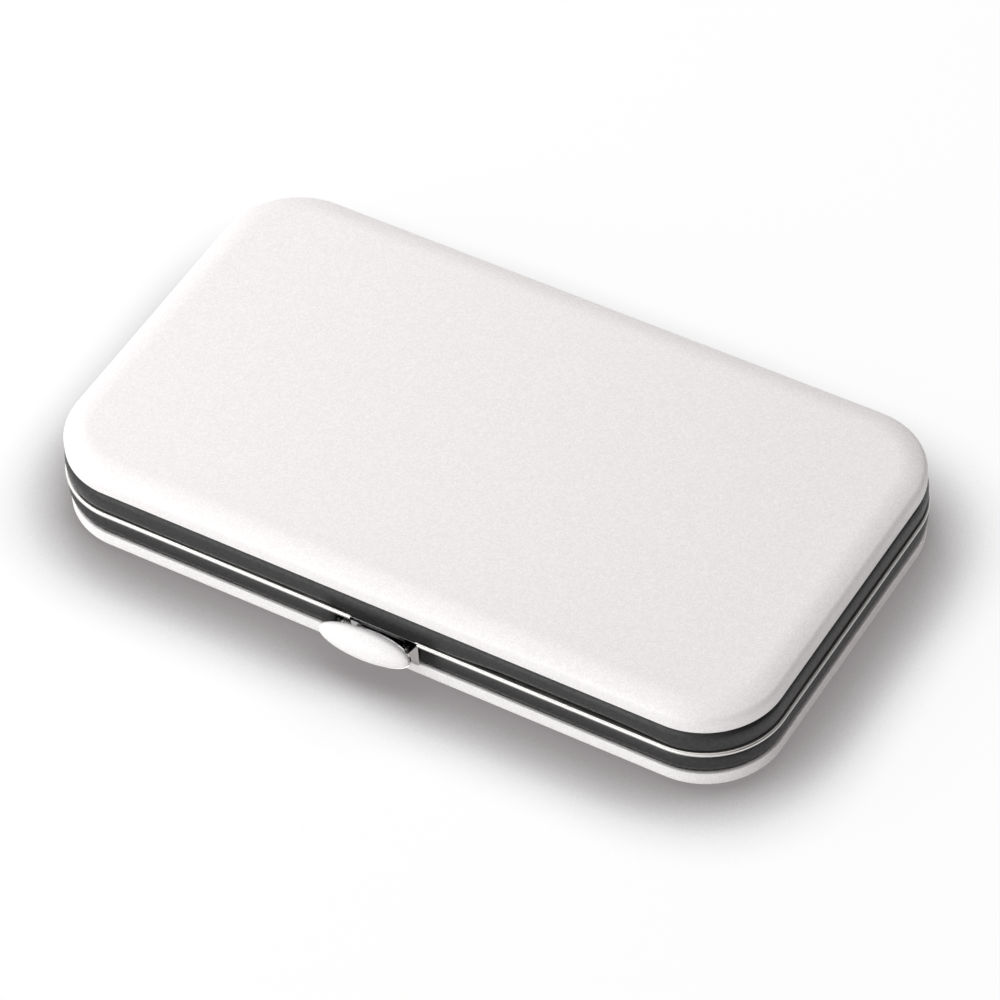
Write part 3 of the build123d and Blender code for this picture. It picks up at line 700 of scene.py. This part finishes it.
def join_and_orient(mesh: bpy.types.Mesh, gap: float = 1e-7) -> None:
    """Merge doubles, drop faces without area and turn every face outwards.

    Args:
        mesh: the mesh, which changes.
        gap: distance in metres under which points are one.
    """
    work = bmesh.new()
    work.from_mesh(mesh)
    bmesh.ops.remove_doubles(work, verts=work.verts, dist=gap)
    bmesh.ops.dissolve_degenerate(work, dist=gap, edges=work.edges)
    bmesh.ops.recalc_face_normals(work, faces=work.faces)
    work.to_mesh(mesh)
    work.free()


def arc(centre: tuple[float, float], radius: float, start: float, end: float, steps: int) -> Array:
    """Points on an arc: centre + radius * (cos a, sin a), a from start to end in degrees."""
    a = np.radians(np.linspace(start, end, steps))
    return np.stack((centre[0] + radius * np.cos(a), centre[1] + radius * np.sin(a)), axis=-1)


def smooth(low: float, high: float, x: Array) -> Array:
    """Smoothstep of x from low to high: 3t^2 - 2t^3 with t held from 0 to 1."""
    t = np.clip((x - low) / (high - low), 0.0, 1.0)
    return t * t * (3.0 - 2.0 * t)


@dataclass(frozen=True)
class Outline:
    """Rounded rectangle that the case follows in plan."""

    length: float = 116.0
    width: float = 64.9
    corner: float = 12.3
    corner_steps: int = 24
    run_step: float = 2.0

    def stations(self) -> tuple[Array, Array]:
        """Points of the skeleton and their outward directions, from the front middle round +X.

        Returns:
            Skeleton points and unit directions, each n by 2. A point of the outline at an inset
            is skeleton + (corner - inset) * direction.
        """
        a, b = self.length / 2 - self.corner, self.width / 2 - self.corner
        skeleton, outward = [], []
        runs = (((0, -b), (a, -b), -90), ((a, -b), (a, b), 0), ((a, b), (-a, b), 90),
                ((-a, b), (-a, -b), 180), ((-a, -b), (0, -b), 270))
        for start, end, heading in runs:
            start, end = np.array(start, float), np.array(end, float)
            steps = max(2, round(float(np.linalg.norm(end - start)) / self.run_step))
            t = np.linspace(0.0, 1.0, steps, endpoint=False)[:, None]
            skeleton.append(start + (end - start) * t)
            outward.append(np.tile([math.cos(math.radians(heading)), math.sin(math.radians(heading))],
                                   (steps, 1)))
            if heading < FULL_TURN:
                angles = np.radians(np.linspace(heading, heading + 90, self.corner_steps,
                                                endpoint=False))
                skeleton.append(np.tile(end, (self.corner_steps, 1)))
                outward.append(np.stack((np.cos(angles), np.sin(angles)), axis=-1))
        return np.vstack(skeleton), np.vstack(outward)

    def inward(self, inset: float, run_step: float) -> "Outline":
        """Outline of a piece that lies inside this one by an inset."""
        return Outline(self.length - 2 * inset, self.width - 2 * inset, self.corner - inset,
                       run_step=run_step)

    def carry(self, profile: Array) -> Array:
        """Carry a profile round the outline.

        Args:
            profile: n by 2 (inset, height), or stations by n by 2 where it changes on the way.

        Returns:
            Points, stations by n by 3: skeleton + (corner - inset) * direction, at the height.
        """
        skeleton, outward = self.stations()
        profile = np.broadcast_to(profile, (len(skeleton), *profile.shape[-2:]))
        plan = skeleton[:, None] + (self.corner - profile[..., :1]) * outward[:, None]
        return np.concatenate((plan, profile[..., 1:]), axis=-1)

    def fill(self, ring: Array, steps: int = 14) -> Array:
        """Fill a ring flat, down to a spine along its middle.

        Args:
            ring: points of the ring, n by 3.
            steps: rows from the ring to the spine.

        Returns:
            Points, n by steps by 3: ring * (1 - t) + spine * t, with t from 0 to 1.
        """
        spine = ring.copy()
        spine[:, 0] = np.clip(ring[:, 0], -(self.length - self.width) / 2,
                              (self.length - self.width) / 2)
        spine[:, 1] = 0.0
        t = np.linspace(0.0, 1.0, steps)[None, :, None]
        return ring[:, None] * (1 - t) + spine[:, None] * t


# ---------------------------------------------------------------- sub-assemblies
@dataclass
class Covers:
    """Two pressed covers: upright rim with a rolled lip, tight shoulder, long crown, flat middle."""

    outline: Outline = field(default_factory=Outline)
    inset: float = 0.4
    sheet: float = 0.6
    edge_level: float = 4.3
    rim: float = 1.7
    shoulder: float = 1.1
    turn: float = 70.0
    crown: float = 10.0
    lip: float = 0.16

    def profile(self) -> Array:
        """Inset and height above the cover's edge, from the inner plate round the rim to the outer.

        Returns:
            Arcs of the inner crown and shoulder, a rounded lip, and the outer shoulder and crown.
        """
        tight = 180.0 - self.turn
        low = (self.inset + self.shoulder, self.rim)
        reach = self.shoulder - self.crown
        high = (low[0] + reach * math.cos(math.radians(tight)),
                low[1] + reach * math.sin(math.radians(tight)))
        outer_edge, inner_edge = self.inset + self.lip, self.inset + self.sheet - self.lip
        return np.vstack((
            arc(high, self.crown - self.sheet, 90.0, tight, 10),
            arc(low, self.shoulder - self.sheet, tight, 180.0, 10)[1:],
            arc((inner_edge, self.lip), self.lip, 0.0, -90.0, 6),
            arc((outer_edge, self.lip), self.lip, -90.0, -180.0, 6),
            arc(low, self.shoulder, 180.0, tight, 16),
            arc(high, self.crown, tight, 90.0, 20)[1:]))

    def build(self, side: int, body: Body, name: str, node: str) -> None:
        """Build one cover.

        Args:
            side: +1 for the upper cover, -1 for the lower.
            body: body that it rides on.
            name: name of the piece.
            node: solid model node that it stands for.
        """
        profile = self.profile()
        profile[:, 1] = MID_HEIGHT + side * (self.edge_level + profile[:, 1])
        shell = self.outline.carry(profile)
        sheets = [Sheet(shell, wrap_rows=True),
                  Sheet(self.outline.fill(shell[:, 0]), wrap_rows=True),
                  Sheet(self.outline.fill(shell[:, -1]), wrap_rows=True)]
        make_piece(name, sheets, body, Finishes.COVER, [node], sharp=50.0)


@dataclass
class Beads:
    """Round grained bands beside the seam; the upper one's lower edge wanders a little.

    Edges are insets from the outline, and levels are heights above the middle of the case.
    """

    outline: Outline = field(default_factory=lambda: Outline(run_step=0.6))
    back: float = 2.0
    proud: float = 0.2
    hidden_edge: float = 1.95
    outer_level: float = 4.3
    lip_edge: float = 0.32
    lip_level: float = 0.52
    loose_edge: float = 0.85
    loose_level: float = 0.78
    tight_edge: float = 0.09
    tight_level: float = 0.41
    flange_edge: float = 1.5
    flange_level: float = 0.4
    slack_starts: tuple[float, float] = (12.0, 21.0)
    slack_ends: tuple[float, float] = (36.0, 48.0)
    slack_usual: float = 0.34
    slack_swing: float = 0.12
    tight_place: float = 0.9
    tight_ends: tuple[float, float] = (5.2, 6.4)
    recess: tuple[float, float] = (-6.95, 6.6)
    end_round: float = 0.45
    end_margin: float = 0.2
    end_steps: int = 9
    steps: int = 25

    def section(self, edge: Array, level: Array, side: int) -> Array:
        """Section of a band, from its edge under the cover to its edge at the seam and the back.

        With a from 90 to -90 degrees, height = middle + half * sin a, and
        inset = proud + (edge - proud) * (1 - cos a), where the edge is the hidden one above the
        middle and the seam's one below it.

        Args:
            edge: inset of the edge at the seam, one for each station.
            level: height of that edge above the middle of the case.
            side: +1 for the upper band, -1 for the lower.

        Returns:
            Stations by n by 2 array of insets and heights.
        """
        angle = np.radians(np.linspace(90.0, -90.0, self.steps))[None]
        edge, level = edge[:, None], level[:, None]
        end = np.where(angle > 0.0, self.hidden_edge, edge)
        inset = self.proud + (end - self.proud) * (1.0 - np.cos(angle))
        half = (self.outer_level - level) / 2
        height = self.outer_level - half + half * np.sin(angle)
        rear = np.full_like(edge, self.back)
        inset = np.concatenate((inset, rear, rear), axis=1)
        height = np.concatenate((height, level, np.full_like(level, self.outer_level)), axis=1)
        return np.stack((inset, MID_HEIGHT + side * height), axis=-1)

    def upper(self) -> None:
        """Build the upper band, slack on the right of the front and drawn tight over the clasp.

        Slack = usual + swing * sin(x / 7) * cos(y / 11), and 1 on the slack stretch; the edge and
        level at the seam go from their lip values at slack 0 to their loose values at slack 1.
        """
        skeleton, outward = self.outline.stations()
        spot = skeleton + self.outline.corner * outward
        x, y = spot[:, 0], spot[:, 1]
        front = smooth(0.0, -20.0, y)
        hump = smooth(*self.slack_starts, x) * (1.0 - smooth(*self.slack_ends, x)) * front
        usual = self.slack_usual + self.slack_swing * np.sin(x / 7.0) * np.cos(y / 11.0)
        slack = np.clip(hump + (1.0 - hump) * usual, 0.0, 1.0)
        tight = (1.0 - smooth(*self.tight_ends, np.abs(x - self.tight_place))) * front
        edge = self.lip_edge + (self.loose_edge - self.lip_edge) * slack
        level = self.lip_level + (self.loose_level - self.lip_level) * slack
        edge = edge * (1.0 - tight) + self.tight_edge * tight
        level = level * (1.0 - tight) + self.tight_level * tight
        ring = self.outline.carry(self.section(edge, level, 1))
        make_piece("upper_bead_band", [Sheet(ring, wrap_rows=True, wrap_columns=True)], Body.LID,
                   Finishes.BEAD, ["upper_bead"], sharp=60.0)

    def lower(self) -> None:
        """Build the lower band, cut for the clasp, with its ends rounded by a quarter circle.

        With a from 0 to 90 degrees, the run from an end = round * (1 - cos a), and the section is
        sunk there by round * (1 - sin a).
        """
        skeleton, outward = self.outline.stations()
        start, end = self.recess
        turn = np.radians(np.linspace(0.0, 90.0, self.end_steps))
        run = self.end_round * (1.0 - np.cos(turn))
        sunk = self.end_round * (1.0 - np.sin(turn))
        front = outward[:, 1] < -0.999
        x = skeleton[:, 0]
        margin = self.end_round + self.end_margin
        gap = front & (x > start - margin) & (x < end + margin)
        first = int(np.flatnonzero(gap & (x >= 0))[-1]) + 1
        last = int(np.flatnonzero(gap & (x < 0))[0])
        depth = skeleton[0, 1]
        ends = [np.stack((at, np.full_like(at, depth)), axis=-1)
                for at in (end + run, (start - run)[::-1])]
        facing = np.tile((0.0, -1.0), (len(turn), 1))
        skeleton = np.vstack((ends[0], skeleton[first:last], ends[1]))
        outward = np.vstack((facing, outward[first:last], facing))
        extra = np.concatenate((sunk, np.zeros(last - first), sunk[::-1]))
        flat = np.full(len(skeleton), self.flange_edge)
        section = self.section(flat, np.full_like(flat, self.flange_level), -1)
        section[..., 0] = np.minimum(section[..., 0] + extra[:, None], self.back)
        plan = skeleton[:, None] + (self.outline.corner - section[..., :1]) * outward[:, None]
        ring = np.concatenate((plan, section[..., 1:]), axis=-1)
        sheets = [Sheet(ring, wrap_columns=True), cap(ring[0]), cap(ring[-1])]
        make_piece("lower_bead_band", sheets, Body.LOWER, Finishes.BEAD, ["lower_bead"], sharp=60.0)


@dataclass
class ClaspTab:
    """Domed oval plate that the thumb presses."""

    outline: Outline = field(default_factory=Outline)
    place: float = -1.0
    half_length: float = 7.35
    half_height: float = 2.2
    dome: float = 1.3
    rim: float = 0.35
    edge: float = 0.14
    reach: float = 2.1
    level: float = -1.7
    tilt: float = 28.8
    rings: int = 36
    spokes: int = 96

    def build(self) -> None:
        """Oval rings: dome height = dome * sqrt(1 - r^2), then a rounded rim and a flat back."""
        turn = np.linspace(0.0, math.tau, self.spokes, endpoint=False)
        r = np.sin(np.linspace(0.0, math.pi / 2, self.rings))
        rise = self.dome * np.sqrt(np.maximum(0.0, 1.0 - r ** 2))
        shrink = np.zeros_like(r)
        lip = arc((0.0, -self.rim + self.edge), self.edge, 0.0, -90.0, 6)
        r = np.concatenate((r, np.ones(len(lip)), [0.0]))
        rise = np.concatenate((rise, lip[:, 1], [-self.rim]))
        shrink = np.concatenate((shrink, self.edge - lip[:, 0], [0.0]))
        across = (self.half_length - shrink) * r * np.cos(turn)[:, None]
        up = (self.half_height - shrink) * r * np.sin(turn)[:, None]
        out = np.broadcast_to(rise, across.shape)
        a = math.radians(self.tilt)
        middle = -self.outline.width / 2 - self.reach
        points = np.stack((self.place + across,
                           middle - out * math.cos(a) + up * math.sin(a),
                           MID_HEIGHT + self.level + out * math.sin(a) + up * math.cos(a)), axis=-1)
        make_piece("domed_clasp_tab", [Sheet(points, wrap_rows=True)], Body.LATCH, Finishes.TAB,
                   ["clasp_tab"], sharp=70.0)


class CarriedNodes:
    """Solid model nodes whose shape stays, with their finishes."""

    finishes: Sequence[tuple[Finish, Sequence[str]]] = (
        (Finishes.RIM, ("lower_frame", "upper_frame")),
        (Finishes.HINGE, ("lower_hinge_leaf", "upper_hinge_leaf", "hinge_pin")),
        (Finishes.HOUSING, ("latch_housing",)),
        (Finishes.PIN, ("latch_pin",)),
        (Finishes.LEVER, ("latch_lever",)),
        (Finishes.SPRING, ("latch_spring",)),
        (Finishes.CATCH, ("catch_plate",)),
        (Finishes.STEEL, ("scissor_blade_lower", "scissor_blade_upper", "clipper_lower_jaw",
                          "clipper_upper_jaw", "clipper_lever", "tweezers", "cuticle_pusher")),
        (Finishes.FASTENER, ("scissor_screw", "clipper_stud", "clipper_rivet")),
        (Finishes.FILE, ("nail_file",)))

    def dress(self) -> None:
        """Give each carried node its finish."""
        for finish, nodes in self.finishes:
            for node in nodes:
                finish.dress(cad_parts[node])
                LOG.info("node %s carries %s", node, finish.name)


@dataclass
class LiningBoard:
    """Board in the lid with a rolled edge and a pressed border line."""

    outline: Outline = field(default_factory=Outline)
    inset: float = 3.05
    low: float = PANEL_LEVEL
    thickness: float = 0.95
    roll: float = 0.42
    top_round: float = 0.12
    border: float = 2.2
    line_width: float = 0.35
    line_depth: float = 0.16

    def build(self) -> None:
        """Carry the edge profile round the board and fill both faces.

        The lower face is level apart from the border line, whose depth is line depth times
        exp(-((inset - border) / line width)^2).
        """
        outline = self.outline.inward(self.inset, run_step=1.5)
        top = self.low + self.thickness - self.top_round
        across = np.linspace(self.roll, self.border + 3 * self.line_width, 26)[1:]
        dip = self.line_depth * np.exp(-((across - self.border) / self.line_width) ** 2)
        profile = np.vstack((arc((self.top_round, top), self.top_round, 90.0, 180.0, 5),
                             arc((self.roll, self.low + self.roll), self.roll, 180.0, 270.0, 9),
                             np.stack((across, self.low + dip), axis=-1)))
        profile[:, 1] += MID_HEIGHT
        band = outline.carry(profile)
        sheets = [Sheet(band, wrap_rows=True),
                  Sheet(outline.fill(band[:, 0], 4), wrap_rows=True),
                  Sheet(outline.fill(band[:, -1], 6), wrap_rows=True)]
        make_piece("lining_board", sheets, Body.LID, Finishes.PANEL, ["upper_panel"], sharp=50.0)


@dataclass
class MouldedTray:
    """Flocked tray: the solid's pockets with every hard edge rounded over."""

    round_over: float = 0.32
    steps: int = 3
    hard: float = 50.0
    level: float = 1.0
    crisp: float = 35.0

    def build(self) -> None:
        """Copy the solid's mesh, merge it, join its level faces and bevel its hard edges."""
        work = bmesh.new()
        work.from_mesh(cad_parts["lower_tray"].data)
        bmesh.ops.remove_doubles(work, verts=work.verts, dist=1e-6)
        bmesh.ops.dissolve_limit(work, angle_limit=math.radians(self.level), verts=work.verts,
                                 edges=work.edges)
        hard = [edge for edge in work.edges
                if edge.is_manifold and edge.calc_face_angle() > math.radians(self.hard)]
        bmesh.ops.bevel(work, geom=hard, offset=self.round_over * MM, offset_type="OFFSET",
                        segments=self.steps, profile=0.5, affect="EDGES", clamp_overlap=True)
        bmesh.ops.triangulate(work, faces=work.faces)
        mesh = bpy.data.meshes.new("flocked_tray")
        work.to_mesh(mesh)
        work.free()
        finish_piece(mesh, Body.LOWER, Finishes.TRAY, ["lower_tray"], self.crisp)


@dataclass
class Straps:
    """Woven elastic bands that arch over the pusher and the file."""

    place: float = 24.0
    width: float = 9.0
    sheet: float = 0.5
    pusher: tuple[float, float, float] = (-20.1, 1.8, 3.45)
    file: tuple[float, float, float] = (3.9, 4.0, 1.15)
    low: float = -27.6
    high: float = 13.6
    slope: float = 1.2
    edge: float = 0.12
    steps: int = 170

    def centreline(self) -> Array:
        """Y and depth below the panel along the band: smooth rises to flat tops over each tool.

        Returns:
            n by 2 array; depth = tool depth * smoothstep up * smoothstep down.
        """
        y = np.linspace(self.low, self.high, self.steps)
        depth = np.zeros_like(y)
        for centre, half, drop in (self.pusher, self.file):
            up = smooth(centre - half - self.slope, centre - half, y)
            down = 1.0 - smooth(centre + half, centre + half + self.slope, y)
            depth += drop * up * down
        return np.stack((y, depth), axis=-1)

    def build(self, side: int, name: str, node: str) -> None:
        """Build one band.

        Args:
            side: -1 for the left band, +1 for the right.
            name: name of the piece.
            node: solid model node that it stands for.
        """
        line = self.centreline()
        slope = np.gradient(line[:, 1], line[:, 0])
        normal = np.stack((-slope, np.ones_like(slope)), axis=-1)
        normal /= np.linalg.norm(normal, axis=1)[:, None]
        run = np.concatenate(([0.0], np.cumsum(np.linalg.norm(np.diff(line, axis=0), axis=1))))
        half, t = self.width / 2, self.sheet
        section = np.vstack((arc((half - self.edge, t - self.edge), self.edge, 90.0, 0.0, 4),
                             arc((half - self.edge, self.edge), self.edge, 0.0, -90.0, 4),
                             arc((self.edge - half, self.edge), self.edge, -90.0, -180.0, 4),
                             arc((self.edge - half, t - self.edge), self.edge, 180.0, 90.0, 4)))
        at = line[:, None] + normal[:, None] * section[None, :, 1:]
        x = side * self.place + np.broadcast_to(section[:, 0], at.shape[:2])
        points = np.stack((x, at[..., 0], MID_HEIGHT + PANEL_LEVEL - at[..., 1]), axis=-1)
        uv = np.stack(np.broadcast_arrays(run[:, None], section[None, :, 0]), axis=-1) * MM
        sheets = [Sheet(points, wrap_columns=True), cap(points[0]), cap(points[-1])]
        make_piece(name, sheets, Body.LID, Finishes.STRAP, [node], sharp=60.0,
                   uv=np.vstack((uv.reshape(-1, 2), uv[0], uv[0], uv[-1], uv[-1])))


# ---------------------------------------------------------------- studio
@dataclass
class Studio:
    """Camera, white floor, surroundings and soft overhead light.

    Fill is the strength of the room, aside the share that its right side loses, strip the extra of
    a low strip in front, and key the lamp's power. Glow share is how far the floor shines by
    itself to the camera and in mirrors.
    """

    azimuth: float = 33.24
    elevation: float = 47.25
    roll: float = -3.83
    distance: float = 796.1
    lens: float = 200.48
    sensor: float = 36.0
    shift_right: float = 0.799
    shift_up: float = -2.982
    fill: float = 0.9
    aside: float = 0.7
    aside_mirrored: float = 0.28
    aside_way: Colour = (0.8, 0.6, 0.0)
    aside_tint: Colour = (1.0, 0.9, 0.905)
    strip: float = 1.9
    strip_way: Colour = (-0.37, -0.92, 0.14)
    key: float = 0.67
    lamp_place: Colour = (-0.22, -0.03, 0.28)
    lamp_size: float = 0.35
    floor_size: float = 6.0
    glow: float = 1.0
    glow_share: float = 0.85
    bounce: Colour = (0.98, 0.98, 0.98)
    shadow_reach: float = 15.0
    shadow_tint: Colour = (0.985, 1.01, 1.005)
    shadow_samples: int = 12
    shadow_stops: Sequence[tuple[float, float]] = (
        (0.5, 0.29), (0.6, 0.335), (0.68, 0.41), (0.76, 0.57), (0.84, 0.78), (0.9, 0.92), (1.0, 1.0))

    def camera(self) -> None:
        """Place the camera round the middle of the case, turned by its azimuth, elevation and roll."""
        az, el, roll = (math.radians(v) for v in (self.azimuth, self.elevation, self.roll))
        back = Vector((math.sin(az) * math.cos(el), -math.cos(az) * math.cos(el), math.sin(el)))
        right = Vector((math.cos(az), math.sin(az), 0.0))
        up = back.cross(right)
        side = right * math.cos(roll) + up * math.sin(roll)
        top = up * math.cos(roll) - right * math.sin(roll)
        spot = (Vector((0.0, 0.0, MID_HEIGHT)) + back * self.distance + side * self.shift_right
                + top * self.shift_up) * MM
        data = bpy.data.cameras.new("camera")
        data.lens, data.sensor_width = self.lens, self.sensor
        data.clip_start, data.clip_end = 0.01, 100.0
        camera = bpy.data.objects.new("camera", data)
        turned = Matrix((side, top, back)).transposed().to_4x4()
        turned.translation = spot
        camera.matrix_world = turned
        bpy.context.scene.collection.objects.link(camera)
        bpy.context.scene.camera = camera

    def floor(self) -> None:
        """White floor that keeps the soft shadow and is pure white away from it."""
        mesh = bpy.data.meshes.new("floor")
        half = self.floor_size / 2
        mesh.from_pydata([(-half, -half, 0.0), (half, -half, 0.0), (half, half, 0.0),
                          (-half, half, 0.0)], [], [(0, 1, 2, 3)])
        floor = bpy.data.objects.new("floor", mesh)
        bpy.context.scene.collection.objects.link(floor)
        material = bpy.data.materials.new("white_floor")
        graph = Graph(material)
        light = graph.node("ShaderNodeLightPath")
        seen = Value(graph, light.outputs["Is Camera Ray"])
        mirrored = Value(graph, light.outputs["Is Glossy Ray"]).math(
            "MAXIMUM", Value(graph, light.outputs["Is Transmission Ray"]))
        near = graph.node("ShaderNodeAmbientOcclusion", {"samples": self.shadow_samples},
                          {"Distance": self.shadow_reach * MM})
        stops = [(place, tuple(1.0 - (1.0 - tone) * tint for tint in self.shadow_tint))
                 for place, tone in self.shadow_stops]
        tone = graph.node("ShaderNodeValToRGB", {"stops": stops}, {0: near.outputs["AO"]}).outputs[0]
        bounced = graph.blend(1.0 - seen, tone, self.bounce)
        matt = graph.node("ShaderNodeBsdfDiffuse", None, {"Color": bounced})
        glow = graph.node("ShaderNodeEmission", None, {"Color": tone, "Strength": self.glow})
        share = seen.math("MAXIMUM", mirrored) * self.glow_share
        both = graph.node("ShaderNodeMixShader", None,
                          {0: share, 1: matt.outputs[0], 2: glow.outputs[0]})
        graph.node("ShaderNodeOutputMaterial", None, {"Surface": both.outputs[0]})
        floor.data.materials.append(material)
        floor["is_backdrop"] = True

    def surroundings(self) -> None:
        """White world to the camera; to the light, a room dim at the right and bright in front."""
        world = bpy.data.worlds.new("studio")
        bpy.context.scene.world = world
        graph = Graph(world)
        light = graph.node("ShaderNodeLightPath")
        seen = Value(graph, light.outputs["Is Camera Ray"])
        x, y, z = graph.split(graph.node("ShaderNodeTexCoord").outputs["Generated"])
        aside, strip = (way[0] * x + way[1] * y + way[2] * z
                        for way in (self.aside_way, self.strip_way))
        aside, strip = aside.ramp(-0.35, 0.6), strip.ramp(0.86, 0.98)
        mirrored = Value(graph, light.outputs["Is Glossy Ray"])
        bright = (self.fill * (1.0 - aside * (self.aside + self.aside_mirrored * mirrored))
                  + self.strip * strip)
        tint = graph.blend(aside, (1.0, 1.0, 1.0), self.aside_tint)
        room = graph.node("ShaderNodeBackground", None, {"Color": tint, "Strength": bright})
        white = graph.node("ShaderNodeBackground", None, {"Color": (1.0, 1.0, 1.0), "Strength": 1.0})
        both = graph.node("ShaderNodeMixShader", None,
                          {0: seen, 1: room.outputs[0], 2: white.outputs[0]})
        graph.node("ShaderNodeOutputWorld", None, {"Surface": both.outputs[0]})

    def lamp(self) -> None:
        """One large soft light above, to the left and a little in front."""
        data = bpy.data.lights.new("softbox", "AREA")
        data.shape, data.size = "SQUARE", self.lamp_size
        data.energy = self.key
        lamp = bpy.data.objects.new("softbox", data)
        lamp.visible_camera = False
        lamp.location = self.lamp_place
        lamp.rotation_euler = Vector(lamp.location).to_track_quat("Z", "Y").to_euler()
        bpy.context.scene.collection.objects.link(lamp)

    def build(self) -> None:
        """Set up the camera, the floor, the world, the lamp and the view transform."""
        self.camera()
        self.floor()
        self.surroundings()
        self.lamp()
        bpy.context.scene.view_settings.view_transform = "Standard"


def main() -> None:
    """Build the studio and every sub-assembly, and report each piece."""
    logging.basicConfig(level=logging.INFO, format="%(message)s")
    Studio().build()
    CarriedNodes().dress()
    covers = Covers()
    covers.build(-1, Body.LOWER, "pressed_lower_cover", "lower_cover")
    covers.build(1, Body.LID, "pressed_upper_cover", "upper_cover")
    Beads().upper()
    Beads().lower()
    ClaspTab().build()
    MouldedTray().build()
    LiningBoard().build()
    straps = Straps()
    straps.build(-1, "elastic_strap_left", "left_strap")
    straps.build(1, "elastic_strap_right", "right_strap")
    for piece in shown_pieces():
        LOG.info("piece %s has %d faces", piece.name, len(piece.data.polygons))


if __name__ == "__main__":
    main()
